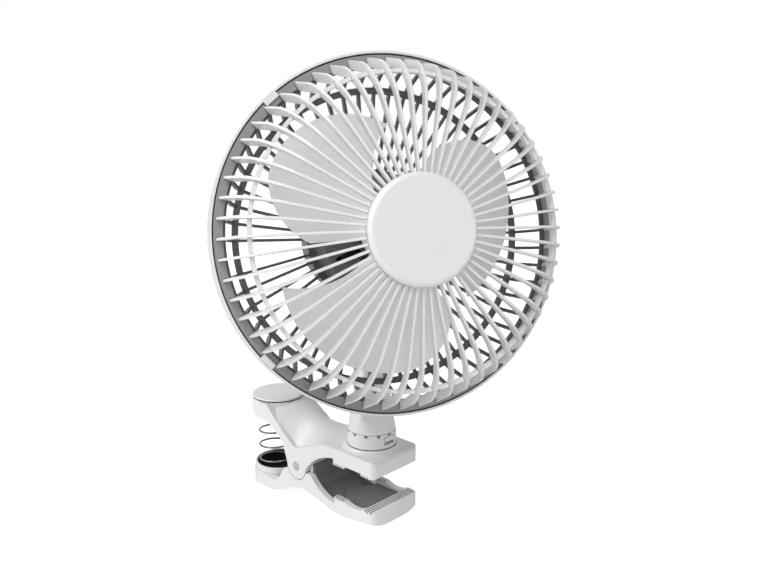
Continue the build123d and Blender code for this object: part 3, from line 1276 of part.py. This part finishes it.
def keeps_clear(turn):
    """Whether a vent at this turn misses the knob above and the cord inlet below."""
    middle = (turn * Pos((VENT_INNER + VENT_OUTER) / 2, 0, 0)).position
    over_knob = (middle - Vector(0, KNOB_RISE, 0)).length > KNOB_RADIUS + KNOB_ROOM
    over_inlet = (middle - Vector(0, -INLET_DROP, 0)).length > INLET_RADIUS + KNOB_ROOM
    return over_knob and over_inlet


def make_cover_screws():
    seat = COVER_BACK + COVER_SCREW_SEAT
    screws = []
    for turn in around(COVER_SCREW_COUNT, COVER_BOSS_START):
        screw = tube(COVER_SCREW_RADIUS, seat - MERGE, PLATE_FRONT)
        screw += tube(COVER_SCREW_HEAD, seat - COVER_SCREW_HEAD_HEIGHT, seat)
        screws.append(HEAD * turn * Pos(COVER_SCREW_CIRCLE, 0, 0) * screw)
    return Compound(children=screws)


def make_cord_inlet():
    """Bushing in the back of the motor housing, where a mains lead would enter."""
    bushing = tube(INLET_RADIUS, COVER_BACK - INLET_FLANGE, COVER_BACK)
    tail_end = COVER_BACK + COVER_WALL + INLET_TAIL
    bushing += tube(INLET_RADIUS - INLET_FLANGE, COVER_BACK - MERGE, tail_end)
    bushing -= tube(INLET_BORE, COVER_BACK - INLET_FLANGE - PAST, tail_end + PAST)
    return HEAD * Pos(0, -INLET_DROP, 0) * bushing


def make_switch_knob():
    """Three-position speed knob with a finger bar."""
    base = COVER_BACK - SEAM
    knob = tube(KNOB_RADIUS, base - KNOB_BASE, base)
    half_bar = KNOB_RADIUS - KNOB_BAR_SET_IN
    bar = block(
        (-KNOB_GRIP_WIDTH / 2, KNOB_GRIP_WIDTH / 2),
        (-half_bar, half_bar),
        (base - KNOB_HEIGHT, base - KNOB_BASE + MERGE),
    )
    knob += bar & tube(KNOB_RADIUS, base - KNOB_HEIGHT, base)
    knob += tube(KNOB_STEM_RADIUS, base - MERGE, COVER_BACK + COVER_WALL + KNOB_STEM_REACH)
    return HEAD * Pos(0, KNOB_RISE, 0) * knob


def make_switch_body():
    front = COVER_BACK + COVER_WALL + SWITCH_GAP
    stem_end = COVER_BACK + COVER_WALL + KNOB_STEM_REACH
    body = block(
        (-SWITCH_WIDTH / 2, SWITCH_WIDTH / 2),
        (-SWITCH_HEIGHT / 2, SWITCH_HEIGHT / 2),
        (front, front + SWITCH_DEPTH),
    )
    body -= tube(KNOB_STEM_RADIUS + RUNNING, front - PAST, stem_end + SEAM)
    return HEAD * Pos(0, KNOB_RISE, 0) * body


# ---- Motor inside --------------------------------------------------------------------
def stator_face():
    """Lamination outline: pole block with the rotor bore, two legs and the coil core."""
    half = STATOR_HALF_WIDTH
    face = outline(
        [
            (-half, CORE_BOTTOM, STATOR_BOTTOM_CORNER),
            (half, CORE_BOTTOM, STATOR_BOTTOM_CORNER),
            (half, STATOR_TOP, STATOR_TOP_CORNER),
            (-half, STATOR_TOP, STATOR_TOP_CORNER),
        ]
    )
    window_half = half - LEG_WIDTH
    window = outline(
        [
            (-window_half, CORE_TOP, 0),
            (window_half, CORE_TOP, 0),
            (window_half, POLE_BOTTOM, 0),
            (-window_half, POLE_BOTTOM, 0),
        ]
    )
    return face - window - Circle(ROTOR_RADIUS + ROTOR_GAP)


def make_stator_core():
    core = extrude(Pos(0, 0, STATOR_BACK) * stator_face(), amount=STATOR_LENGTH)
    for side in (-1, 1):
        core -= Pos(side * MOTOR_SCREW_X, 0, 0) * tube(
            MOTOR_SCREW_RADIUS + SLIP, STATOR_BACK - PAST, STATOR_FRONT + PAST
        )
    return HEAD * core


def coil_ring(half_x, grow_inner, grow_outer):
    """A square ring round the core's bottom leg."""
    outer = block(
        (-half_x, half_x),
        (CORE_BOTTOM - grow_outer, CORE_TOP + grow_outer),
        (STATOR_BACK - grow_outer, STATOR_FRONT + grow_outer),
    )
    inner = block(
        (-half_x - PAST, half_x + PAST),
        (CORE_BOTTOM - grow_inner, CORE_TOP + grow_inner),
        (STATOR_BACK - grow_inner, STATOR_FRONT + grow_inner),
    )
    return outer - inner


def make_coil_bobbin():
    half = STATOR_HALF_WIDTH - LEG_WIDTH - SEAM
    flange_size = BOBBIN_WALL + COIL_THICKNESS
    bobbin = coil_ring(half, SLIP, BOBBIN_WALL)
    for side in (-1, 1):
        place = Pos(side * (half - BOBBIN_WALL / 2), 0, 0)
        bobbin += place * coil_ring(BOBBIN_WALL / 2, SLIP, flange_size)
    return HEAD * bobbin


def make_field_coil():
    half = STATOR_HALF_WIDTH - LEG_WIDTH - SEAM - BOBBIN_WALL - SLIP
    outside = BOBBIN_WALL + COIL_THICKNESS - COIL_SET_IN
    return HEAD * coil_ring(half, BOBBIN_WALL + SLIP, outside)


def bracket(plate_low, holder_low, holder_high, post_low, post_high):
    """Bearing bracket: a bar with a bearing holder and two posts on the stator."""
    half = STATOR_HALF_WIDTH
    through = BRACKET_THICKNESS + PAST
    plate = block(
        (-half, half),
        (-BRACKET_HEIGHT / 2, BRACKET_HEIGHT / 2),
        (plate_low, plate_low + BRACKET_THICKNESS),
    )
    plate += tube(BEARING_HOLDER_RADIUS, holder_low, holder_high)
    for side in (-1, 1):
        post = Pos(side * MOTOR_SCREW_X, 0, 0)
        plate += post * tube(BRACKET_POST_RADIUS, post_low, post_high)
        plate -= post * tube(MOTOR_SCREW_RADIUS + SLIP, post_low - through, post_high + through)
    return plate


def make_front_bracket():
    high = FRONT_BRACKET_FRONT + BEARING_LENGTH - BEARING_PROUD
    plate = bracket(
        FRONT_BRACKET_BACK, FRONT_BRACKET_BACK, high, STATOR_FRONT, FRONT_BRACKET_BACK + MERGE
    )
    plate -= tube(BEARING_RADIUS + SLIP, FRONT_BRACKET_BACK - PAST, high + PAST)
    return HEAD * plate


def make_rear_bracket():
    low = REAR_BRACKET_BACK - BEARING_LENGTH + BEARING_PROUD
    plate = bracket(
        REAR_BRACKET_BACK, low, REAR_BRACKET_FRONT, REAR_BRACKET_FRONT - MERGE, STATOR_BACK
    )
    plate -= tube(BEARING_RADIUS + SLIP, low - PAST, REAR_BRACKET_FRONT + PAST)
    return HEAD * plate


def bearing(low):
    return HEAD * tube(BEARING_RADIUS, low, low + BEARING_LENGTH, SHAFT_RADIUS + RUNNING)


def make_motor_screws():
    """Two long screws through rear bracket, stator and front bracket into the plate."""
    screws = []
    for side in (-1, 1):
        screw = tube(MOTOR_SCREW_RADIUS, REAR_BRACKET_BACK - MERGE, PLATE_FRONT - MERGE)
        screw += tube(
            MOTOR_SCREW_HEAD, REAR_BRACKET_BACK - MOTOR_SCREW_HEAD_HEIGHT, REAR_BRACKET_BACK
        )
        screws.append(HEAD * Pos(side * MOTOR_SCREW_X, 0, 0) * screw)
    return Compound(children=screws)


# ---- Everything that spins -----------------------------------------------------------
def make_motor_shaft():
    shaft = tube(SHAFT_RADIUS, SHAFT_BACK, SHAFT_FRONT)
    return HEAD * chamfer(shaft.edges().filter_by(GeomType.CIRCLE), SHAFT_CHAMFER)


def make_rotor():
    return HEAD * tube(
        ROTOR_RADIUS,
        STATOR_BACK - ROTOR_END_RING,
        STATOR_FRONT + ROTOR_END_RING,
        SHAFT_RADIUS + SLIP,
    )


def polar(radius, angle):
    return (radius * cos(radians(angle)), radius * sin(radians(angle)))


def blade_outline():
    """Front view of one paddle about its middle line, its trailing corner well rounded."""
    hub = BLADE_HUB_RADIUS - BLADE_HUB_WALL / 2
    lead_root = polar(hub, -BLADE_ROOT_LEAD)
    lead_corner = polar(BLADE_LEAD_RADIUS, -BLADE_LEAD)
    tip_from = polar(BLADE_RADIUS, BLADE_TIP_FROM)
    tip_to = polar(BLADE_RADIUS, BLADE_TIP_TO)
    trail_corner = polar(BLADE_TRAIL_RADIUS, BLADE_TRAIL)
    trail_root = polar(hub, BLADE_ROOT_TRAIL)
    edge = bowed(lead_root, lead_corner, -BLADE_LEAD_BOW)
    edge += bowed(lead_corner, tip_from, BLADE_TIP_BOWS[0])
    edge += bowed(tip_from, tip_to, BLADE_TIP_BOWS[1])
    edge += bowed(tip_to, trail_corner, BLADE_TIP_BOWS[2])
    edge += Line(trail_corner, trail_root)
    edge += Line(trail_root, lead_root)
    return make_face(edge)


def blade():
    """A cambered, slanted sheet along the paddle's middle line, trimmed to its outline."""
    edge_z = BLADE_MIDDLE + BLADE_CAMBER
    low = (-BLADE_HALF_CHORD, edge_z - BLADE_RISE)
    high = (BLADE_HALF_CHORD, edge_z + BLADE_RISE)
    middle = (0, BLADE_MIDDLE)

    def raised(point):
        return (point[0], point[1] + BLADE_THICKNESS)

    section = ThreePointArc(low, middle, high)
    section += Line(high, raised(high))
    section += ThreePointArc(raised(high), raised(middle), raised(low))
    section += Line(raised(low), low)
    sheet = extrude(Plane.YZ * make_face(section), amount=TALL / 4)
    column = Pos(0, 0, -TALL / 8) * extrude(blade_outline(), amount=TALL / 4)
    return sheet & column


def make_fan_blade():
    hub = tube(BLADE_HUB_RADIUS, BLADE_HUB_BACK, BLADE_HUB_FRONT)
    hub = fillet(hub.edges().sort_by(Axis.Z)[-1], BLADE_HUB_EDGE)
    inside = BLADE_HUB_FRONT - BLADE_HUB_WALL
    hub -= tube(BLADE_HUB_RADIUS - BLADE_HUB_WALL, BLADE_HUB_BACK - PAST, inside)
    hub += tube(BLADE_BOSS_RADIUS, BLADE_HUB_BACK, BLADE_HUB_FRONT - MERGE)
    one = blade()
    for turn in around(BLADE_COUNT, BLADE_FIRST_ANGLE):
        hub += turn * one
    hub -= tube(SHAFT_RADIUS + SLIP, BLADE_HUB_BACK - PAST, BLADE_HUB_FRONT + PAST)
    return HEAD * hub


def make_blade_retainer():
    """Push-on nut that keeps the blade on its shaft."""
    back = BLADE_HUB_FRONT + SLIP
    return HEAD * tube(RETAINER_RADIUS, back, back + RETAINER_THICKNESS, SHAFT_RADIUS + SLIP)


def make_thrust_washers():
    """Fibre washers on the shaft between rotor and bearings."""
    radius = THRUST_WASHER_RADIUS
    hole = SHAFT_RADIUS + SLIP
    front_low = STATOR_FRONT + ROTOR_END_RING + SLIP
    back_high = STATOR_BACK - ROTOR_END_RING - SLIP
    front = tube(radius, front_low, FRONT_BRACKET_BACK - THRUST_WASHER_GAP, hole)
    back = tube(radius, REAR_BRACKET_FRONT + THRUST_WASHER_GAP, back_high, hole)
    return Compound(children=[HEAD * front, HEAD * back])


# ---- Build and export ----------------------------------------------------------------
parts["upper_jaw"] = make_upper_jaw()
parts["thumb_cap"] = make_thumb_cap()
parts["swivel_detent"] = make_swivel_detent()
parts["hinge_pin"] = make_hinge_pin()
parts["pin_clip"] = make_pin_clip()
parts["jaw_spring"] = make_jaw_spring()
parts["lower_jaw"] = make_lower_jaw()
parts["tray_liner"] = make_tray_liner()
parts["spring_cup"] = make_spring_cup()
parts["neck"] = make_neck()
parts["swivel_screw"] = make_swivel_screw()
parts["swivel_washer"] = make_swivel_washer()
parts["tilt_bolt"] = make_tilt_bolt()
parts["tilt_nut"] = make_tilt_nut()
parts["tilt_washers"] = make_tilt_washers()
parts["front_grille"] = make_front_grille()
parts["hub_cap"] = make_hub_cap()
parts["front_flange"] = make_front_flange()
parts["rim_band"] = make_rim_band()
parts["rear_grille"] = make_rear_grille()
parts["motor_front_cover"] = make_motor_front_cover()
parts["motor_rear_cover"] = make_motor_rear_cover()
parts["cover_screws"] = make_cover_screws()
parts["cord_inlet"] = make_cord_inlet()
parts["switch_knob"] = make_switch_knob()
parts["switch_body"] = make_switch_body()
parts["stator_core"] = make_stator_core()
parts["coil_bobbin"] = make_coil_bobbin()
parts["field_coil"] = make_field_coil()
parts["front_bracket"] = make_front_bracket()
parts["rear_bracket"] = make_rear_bracket()
parts["front_bearing"] = bearing(FRONT_BRACKET_BACK)
parts["rear_bearing"] = bearing(REAR_BRACKET_FRONT - BEARING_LENGTH)
parts["motor_screws"] = make_motor_screws()
parts["motor_shaft"] = make_motor_shaft()
parts["rotor"] = make_rotor()
parts["thrust_washers"] = make_thrust_washers()
parts["fan_blade"] = make_fan_blade()
parts["blade_retainer"] = make_blade_retainer()

for name, shape in parts.items():
    export_step(shape, f"parts/{name}.step")
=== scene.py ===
"""Looks of the clip fan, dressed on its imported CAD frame. All lengths are metres."""

import json
from math import cos, pi, radians, sin

import bpy
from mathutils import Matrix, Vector


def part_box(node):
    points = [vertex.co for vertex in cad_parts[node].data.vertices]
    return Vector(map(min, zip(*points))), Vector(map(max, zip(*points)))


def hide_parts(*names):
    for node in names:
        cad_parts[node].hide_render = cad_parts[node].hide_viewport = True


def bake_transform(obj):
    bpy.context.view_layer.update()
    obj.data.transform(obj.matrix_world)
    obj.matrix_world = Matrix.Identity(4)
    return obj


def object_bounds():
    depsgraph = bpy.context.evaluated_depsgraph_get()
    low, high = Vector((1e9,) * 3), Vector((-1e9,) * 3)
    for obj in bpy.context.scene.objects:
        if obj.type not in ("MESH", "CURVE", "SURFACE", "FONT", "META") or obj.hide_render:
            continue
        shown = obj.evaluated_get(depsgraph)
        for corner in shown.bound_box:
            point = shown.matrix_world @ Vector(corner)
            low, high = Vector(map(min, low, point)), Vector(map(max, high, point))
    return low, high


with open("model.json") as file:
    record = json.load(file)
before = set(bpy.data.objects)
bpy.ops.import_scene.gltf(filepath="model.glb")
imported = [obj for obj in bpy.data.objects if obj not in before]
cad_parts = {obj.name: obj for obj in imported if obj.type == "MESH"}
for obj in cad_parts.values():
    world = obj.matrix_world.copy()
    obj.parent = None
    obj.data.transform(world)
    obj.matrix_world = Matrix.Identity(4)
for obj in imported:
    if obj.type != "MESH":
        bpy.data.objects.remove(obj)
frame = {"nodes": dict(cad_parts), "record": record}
cad_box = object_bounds()
MM = 0.001

# ---- Camera: fitted to the photograph's ring, hub cap and clip edges -----------------
PHOTO_WIDTH = 768
FOCAL_PIXELS = 850.0
SENSOR_WIDTH = 36.0
CAMERA_PLACE = Vector((-0.3335, -0.3044, 0.2130))
CAMERA_TURN = radians(46.9)      # round from the clip's nose towards -X
CAMERA_PITCH = radians(13.2)     # looking down
NEAREST_SEEN = 10 * MM

# ---- Spring --------------------------------------------------------------------------
SPRING_WIRE = 0.65 * MM          # radius of the wire
SPRING_TURNS = 5.0
SPRING_START = radians(167.0)    # direction of the wire's lower end about the spring's axis
SPRING_POINTS_PER_TURN = 24

# ---- Studio sizes and light levels ---------------------------------------------------
SUBJECT = Vector((-0.02, 0.02, 0.08))  # the lamps point here
WORLD_LIGHT = 0.3                # on the object; the camera and reflections see white
FLOOR_HALF = 6.0
FLOOR_GAP = 0.2 * MM             # under the clip
FLOOR_GREY = 0.9
FLOOR_GLOW = 0.75                # seen by the camera alone

# ---- Surface detail shared by the finishes -------------------------------------------
NOISE_LOW = 0.3                  # middle range of a noise, which remap spreads out
NOISE_HIGH = 0.7
# Painted shade: ambient occlusion darkens the colour in seams and grooves.
SHADE_REACH = 1.4 * MM            # seams and grooves narrower than this get painted shade
SHADE_DARKEST = 0.2
SHADE_FROM = 0.25                 # openness at which the painted shade is darkest
SHADE_TO = 0.75                   # and at which none is left
FLOW_SIZE = 22 * MM              # faint clouds in moulded plastic
FLOW_TINT = 0.02


# ---- Material helpers ----------------------------------------------------------------
def new_material(name):
    """An empty node material with its shader and output, and the object's own coordinates."""
    mat = bpy.data.materials.new(name)
    mat.use_nodes = True
    nodes = mat.node_tree.nodes
    shader = nodes["Principled BSDF"]
    coords = nodes.new("ShaderNodeTexCoord")
    return mat, nodes, mat.node_tree.links, shader, coords.outputs["Object"]


def noise(nodes, links, coords, size, detail=4.0, roughness=0.55):
    """Noise whose features are about that large, in metres."""
    node = nodes.new("ShaderNodeTexNoise")
    node.inputs["Scale"].default_value = 1.0 / size
    node.inputs["Detail"].default_value = detail
    node.inputs["Roughness"].default_value = roughness
    links.new(coords, node.inputs["Vector"])
    return node.outputs["Fac"]


def remap(nodes, links, value, low, high):
    """The value's middle range spread between low and high."""
    node = nodes.new("ShaderNodeMapRange")
    node.inputs["From Min"].default_value = NOISE_LOW
    node.inputs["From Max"].default_value = NOISE_HIGH
    node.inputs["To Min"].default_value = low
    node.inputs["To Max"].default_value = high
    links.new(value, node.inputs["Value"])
    return node.outputs["Result"]


def shade(colour, factor):
    """The colour made lighter or darker, with its alpha."""
    return tuple(min(1.0, c * factor) for c in colour) + (1.0,)


def mottled(nodes, links, value, colour, spread):
    """A colour that drifts a little lighter and darker over the surface."""
    mix = nodes.new("ShaderNodeMix")
    mix.data_type = "RGBA"
    mix.inputs["A"].default_value = shade(colour, 1 - spread)
    mix.inputs["B"].default_value = shade(colour, 1 + spread)
    links.new(value, mix.inputs["Factor"])
    return mix.outputs["Result"]


def painted_crevice_shade(nodes, links, colour):
    """The colour darkened by ambient occlusion: painted shade in seams, grooves and narrow gaps."""
    closeness = nodes.new("ShaderNodeAmbientOcclusion")
    closeness.samples = 8
    closeness.inputs["Distance"].default_value = SHADE_REACH
    painted_shade = nodes.new("ShaderNodeMapRange")
    painted_shade.inputs["From Min"].default_value = SHADE_FROM
    painted_shade.inputs["From Max"].default_value = SHADE_TO
    painted_shade.inputs["To Min"].default_value = SHADE_DARKEST
    links.new(closeness.outputs["AO"], painted_shade.inputs["Value"])
    mix = nodes.new("ShaderNodeMix")
    mix.data_type = "RGBA"
    mix.blend_type = "MULTIPLY"
    mix.inputs["Factor"].default_value = 1.0
    links.new(colour, mix.inputs["A"])
    links.new(painted_shade.outputs["Result"], mix.inputs["B"])
    return mix.outputs["Result"]


def soft_bump(nodes, links, height, strength, distance, edge):
    """Surface grain over softly rounded edges."""
    bevel = nodes.new("ShaderNodeBevel")
    bevel.samples = 4
    bevel.inputs["Radius"].default_value = edge
    bump = nodes.new("ShaderNodeBump")
    bump.inputs["Strength"].default_value = strength
    bump.inputs["Distance"].default_value = distance
    links.new(height, bump.inputs["Height"])
    links.new(bevel.outputs["Normal"], bump.inputs["Normal"])
    return bump.outputs["Normal"]


def moulded_plastic(name, colour, roughness, grain=0.3 * MM, relief=0.05, coat=0.0, edge=0.4 * MM):
    """Moulded plastic: faint flow mottling, painted shade in crevices, fine spark-eroded grain,
    softened edges.
    """
    mat, nodes, links, shader, coords = new_material(name)
    flow = noise(nodes, links, coords, FLOW_SIZE, detail=3.0)
    fine = noise(nodes, links, coords, grain, detail=2.0)
    tint = mottled(nodes, links, flow, colour, FLOW_TINT)
    # The base colour carries painted shade in seams and grooves.
    links.new(painted_crevice_shade(nodes, links, tint), shader.inputs["Base Color"])
    links.new(
        remap(nodes, links, fine, roughness - 0.05, roughness + 0.06), shader.inputs["Roughness"]
    )
    normal = soft_bump(nodes, links, fine, relief, distance=0.05 * MM, edge=edge)
    links.new(normal, shader.inputs["Normal"])
    shader.inputs["Coat Weight"].default_value = coat
    shader.inputs["Coat Roughness"].default_value = 0.2
    return mat


def moulded_rubber(name, colour):
    """Matt rubber with a pebbled skin and a faint bloom."""
    mat, nodes, links, shader, coords = new_material(name)
    bloom = noise(nodes, links, coords, 9 * MM, detail=5.0)
    pebble = nodes.new("ShaderNodeTexVoronoi")
    pebble.inputs["Scale"].default_value = 1 / (0.7 * MM)
    links.new(coords, pebble.inputs["Vector"])
    links.new(mottled(nodes, links, bloom, colour, spread=0.08), shader.inputs["Base Color"])
    height = pebble.outputs["Distance"]
    normal = soft_bump(nodes, links, height, strength=0.12, distance=0.1 * MM, edge=0.5 * MM)
    links.new(normal, shader.inputs["Normal"])
    links.new(remap(nodes, links, bloom, 0.52, 0.66), shader.inputs["Roughness"])
    return mat


def drawn_metal(name, colour, roughness, metallic=1.0, streak=3.0 * MM):
    """Plated or drawn metal: fine streaks in gloss, slight tint changes."""
    mat, nodes, links, shader, coords = new_material(name)
    stretch = nodes.new("ShaderNodeMapping")
    stretch.inputs["Scale"].default_value = (1.0, 6.0, 6.0)
    links.new(coords, stretch.inputs["Vector"])
    lines = noise(nodes, links, stretch.outputs["Vector"], streak, detail=6.0, roughness=0.7)
    links.new(mottled(nodes, links, lines, colour, spread=0.06), shader.inputs["Base Color"])
    links.new(
        remap(nodes, links, lines, roughness - 0.08, roughness + 0.1), shader.inputs["Roughness"]
    )
    normal = soft_bump(nodes, links, lines, strength=0.05, distance=0.02 * MM, edge=0.2 * MM)
    links.new(normal, shader.inputs["Normal"])
    shader.inputs["Metallic"].default_value = metallic
    return mat


def laminated_steel(name, colour):
    """Stacked sheets seen on edge: fine stripes across the fan's axis."""
    mat, nodes, links, shader, coords = new_material(name)
    stripes = nodes.new("ShaderNodeTexWave")
    stripes.inputs["Scale"].default_value = 1 / (3.2 * MM)
    stripes.inputs["Distortion"].default_value = 0.4
    links.new(coords, stripes.inputs["Vector"])
    height = stripes.outputs["Fac"]
    links.new(mottled(nodes, links, height, colour, spread=0.2), shader.inputs["Base Color"])
    normal = soft_bump(nodes, links, height, strength=0.2, distance=0.1 * MM, edge=0.2 * MM)
    links.new(normal, shader.inputs["Normal"])
    shader.inputs["Metallic"].default_value = 0.8
    shader.inputs["Roughness"].default_value = 0.45
    return mat


def wound_wire(name, colour):
    """Enamelled winding: close turns with a varnish sheen."""
    mat, nodes, links, shader, coords = new_material(name)
    turns = nodes.new("ShaderNodeTexWave")
    turns.bands_direction = "Y"
    turns.inputs["Scale"].default_value = 1 / (2.4 * MM)
    turns.inputs["Distortion"].default_value = 0.8
    links.new(coords, turns.inputs["Vector"])
    height = turns.outputs["Fac"]
    links.new(mottled(nodes, links, height, colour, spread=0.25), shader.inputs["Base Color"])
    normal = soft_bump(nodes, links, height, strength=0.5, distance=0.15 * MM, edge=0.3 * MM)
    links.new(normal, shader.inputs["Normal"])
    shader.inputs["Metallic"].default_value = 0.6
    shader.inputs["Roughness"].default_value = 0.32
    shader.inputs["Coat Weight"].default_value = 0.5
    return mat


# ---- Finishes, by the record's material slots ----------------------------------------
FINISHES = {
    "clip_white": moulded_plastic("clip_white", (0.85, 0.85, 0.85), 0.36, coat=0.15),
    "cage_white": moulded_plastic("cage_white", (0.85, 0.85, 0.85), 0.32, coat=0.25, edge=0.5 * MM),
    # Grey: painted shade on the face of the white front grille's flange.
    "flange_grey": moulded_plastic("flange_grey", (0.30, 0.30, 0.30), 0.42),
    # Dark grey: partly the rear grille's own grey plastic, partly painted shade on its ribs.
    "cage_dark": moulded_plastic("cage_dark", (0.13, 0.13, 0.135), 0.45),
    "motor_dark": moulded_plastic("motor_dark", (0.15, 0.15, 0.155), 0.42),
    # Lighter than the cage's white: painted light making up for the ribs' shadows on the blades.
    "blade_grey": moulded_plastic("blade_grey", (0.94, 0.94, 0.94), 0.38, coat=0.1),
    # Dark grey: painted shade inside the jaws.
    "liner_rubber": moulded_rubber("liner_rubber", (0.16, 0.16, 0.16)),
    # Near black: painted shade inside the spring's cup.
    "cup_dark": moulded_plastic("cup_dark", (0.015, 0.015, 0.015), 0.45),
    "knob_white": moulded_plastic("knob_white", (0.80, 0.80, 0.80), 0.36),
    "bobbin_white": moulded_plastic("bobbin_white", (0.66, 0.66, 0.60), 0.5),
    "pin_steel": drawn_metal("pin_steel", (0.62, 0.62, 0.63), 0.3),
    "spring_wire": drawn_metal("spring_wire", (0.16, 0.16, 0.165), 0.28),
    "lamination_steel": laminated_steel("lamination_steel", (0.18, 0.18, 0.19)),
    "winding_copper": wound_wire("winding_copper", (0.55, 0.22, 0.08)),
    "bearing_bronze": drawn_metal("bearing_bronze", (0.45, 0.27, 0.10), 0.35),
}


def dress_nodes():
    """Gives every CAD node the finish of its slot."""
    for entry in frame["record"]["subparts"]:
        mesh = frame["nodes"][entry["node"]].data
        mesh.materials.clear()
        mesh.materials.append(FINISHES[entry["material_slot"]])


# ---- Modelled pieces -----------------------------------------------------------------
def mesh_from_curve(curve, name):
    """The curve's own tube as a smooth mesh object, and the curve deleted."""
    maker = bpy.data.objects.new(name + "_path", curve)
    bpy.context.scene.collection.objects.link(maker)
    mesh = bpy.data.meshes.new_from_object(
        maker.evaluated_get(bpy.context.evaluated_depsgraph_get())
    )
    bpy.data.objects.remove(maker)
    mesh.name = name
    mesh.shade_smooth()
    piece = bpy.data.objects.new(name, mesh)
    bpy.context.scene.collection.objects.link(piece)
    return piece


def make_spring():
    """The round-wire spring as a smooth coiled tube, in place of the CAD spring."""
    low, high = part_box("jaw_spring")
    centre = (low + high) / 2
    radius = (high.x - low.x) / 2 - SPRING_WIRE
    bottom = low.z + SPRING_WIRE
    top = high.z - SPRING_WIRE
    curve = bpy.data.curves.new("spring", "CURVE")
    curve.dimensions = "3D"
    curve.bevel_depth = SPRING_WIRE
    curve.bevel_resolution = 5
    curve.use_fill_caps = True
    count = int(SPRING_TURNS * SPRING_POINTS_PER_TURN) + 1
    line = curve.splines.new("POLY")
    line.points.add(count - 1)
    for i, point in enumerate(line.points):
        share = i / (count - 1)
        angle = SPRING_START + 2 * pi * SPRING_TURNS * share
        point.co = (
            centre.x + radius * cos(angle),
            centre.y + radius * sin(angle),
            bottom + (top - bottom) * share,
            1.0,
        )
    spring = mesh_from_curve(curve, "spring_coil")
    spring.data.materials.append(FINISHES["spring_wire"])
    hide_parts("jaw_spring")
    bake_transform(spring)


# ---- Studio --------------------------------------------------------------------------
def look_at(place, target, name, data):
    """A lamp or camera at a place, turned to a target."""
    thing = bpy.data.objects.new(name, data)
    thing.location = place
    thing.rotation_euler = (Vector(target) - Vector(place)).to_track_quat("-Z", "Y").to_euler()
    bpy.context.scene.collection.objects.link(thing)
    return thing


def make_camera():
    """The photograph's camera."""
    data = bpy.data.cameras.new("photo_camera")
    data.sensor_width = SENSOR_WIDTH
    data.lens = FOCAL_PIXELS / PHOTO_WIDTH * SENSOR_WIDTH
    data.clip_start = NEAREST_SEEN
    ahead = Vector(
        (
            sin(CAMERA_TURN) * cos(CAMERA_PITCH),
            cos(CAMERA_TURN) * cos(CAMERA_PITCH),
            -sin(CAMERA_PITCH),
        )
    )
    camera = look_at(CAMERA_PLACE, CAMERA_PLACE + ahead, "photo_camera", data)
    bpy.context.scene.camera = camera


def area_light(name, place, width, height, power):
    """A soft box that points at the fan."""
    data = bpy.data.lights.new(name, "AREA")
    data.shape = "RECTANGLE"
    data.size = width
    data.size_y = height
    data.energy = power
    look_at(place, SUBJECT, name, data)


def make_lights():
    """High light from the front left, light from behind on the left, and a weak fill."""
    area_light("key_high", (-0.75, -0.60, 1.20), width=0.8, height=0.8, power=10)
    area_light("side_left", (-0.95, 0.75, 0.80), width=0.9, height=0.9, power=10)
    area_light("fill_front", (-0.30, -1.30, 0.40), width=1.2, height=0.9, power=0.8)


def make_world():
    """A weak even light, which the camera and reflections see as white."""
    world = bpy.data.worlds.new("studio")
    bpy.context.scene.world = world
    world.use_nodes = True
    nodes, links = world.node_tree.nodes, world.node_tree.links
    nodes.clear()
    path = nodes.new("ShaderNodeLightPath")
    seen = nodes.new("ShaderNodeMath")
    seen.operation = "MAXIMUM"
    links.new(path.outputs["Is Camera Ray"], seen.inputs[0])
    links.new(path.outputs["Is Glossy Ray"], seen.inputs[1])
    lit = nodes.new("ShaderNodeBackground")
    lit.inputs["Color"].default_value = (1, 1, 1, 1)
    lit.inputs["Strength"].default_value = WORLD_LIGHT
    white = nodes.new("ShaderNodeBackground")
    white.inputs["Color"].default_value = (1, 1, 1, 1)
    white.inputs["Strength"].default_value = 1.0
    mix = nodes.new("ShaderNodeMixShader")
    out = nodes.new("ShaderNodeOutputWorld")
    links.new(seen.outputs["Value"], mix.inputs["Fac"])
    links.new(lit.outputs["Background"], mix.inputs[1])
    links.new(white.outputs["Background"], mix.inputs[2])
    links.new(mix.outputs["Shader"], out.inputs["Surface"])


def make_floor():
    """A pale floor just under the clip, which keeps the fan's soft shadow."""
    half = FLOOR_HALF
    z = cad_box[0][2] - FLOOR_GAP
    mesh = bpy.data.meshes.new("floor")
    corners = [(-half, -half, z), (half, -half, z), (half, half, z), (-half, half, z)]
    mesh.from_pydata(corners, [], [(0, 1, 2, 3)])
    floor = bpy.data.objects.new("floor", mesh)
    bpy.context.scene.collection.objects.link(floor)
    mat, nodes, links, shader, _ = new_material("floor_paper")
    shader.inputs["Base Color"].default_value = (FLOOR_GREY, FLOOR_GREY, FLOOR_GREY, 1)
    shader.inputs["Roughness"].default_value = 0.9
    path = nodes.new("ShaderNodeLightPath")
    glow = nodes.new("ShaderNodeEmission")
    glow.inputs["Strength"].default_value = FLOOR_GLOW
    black = nodes.new("ShaderNodeEmission")
    black.inputs["Strength"].default_value = 0.0
    mix = nodes.new("ShaderNodeMixShader")
    add = nodes.new("ShaderNodeAddShader")
    links.new(path.outputs["Is Camera Ray"], mix.inputs["Fac"])
    links.new(black.outputs["Emission"], mix.inputs[1])
    links.new(glow.outputs["Emission"], mix.inputs[2])
    links.new(mix.outputs["Shader"], add.inputs[0])
    links.new(shader.outputs["BSDF"], add.inputs[1])
    links.new(add.outputs["Shader"], nodes["Material Output"].inputs["Surface"])
    mesh.materials.append(mat)


# ---- Build ---------------------------------------------------------------------------
bpy.context.scene.view_settings.view_transform = "Standard"
dress_nodes()
make_spring()
make_camera()
make_lights()
make_world()
make_floor()
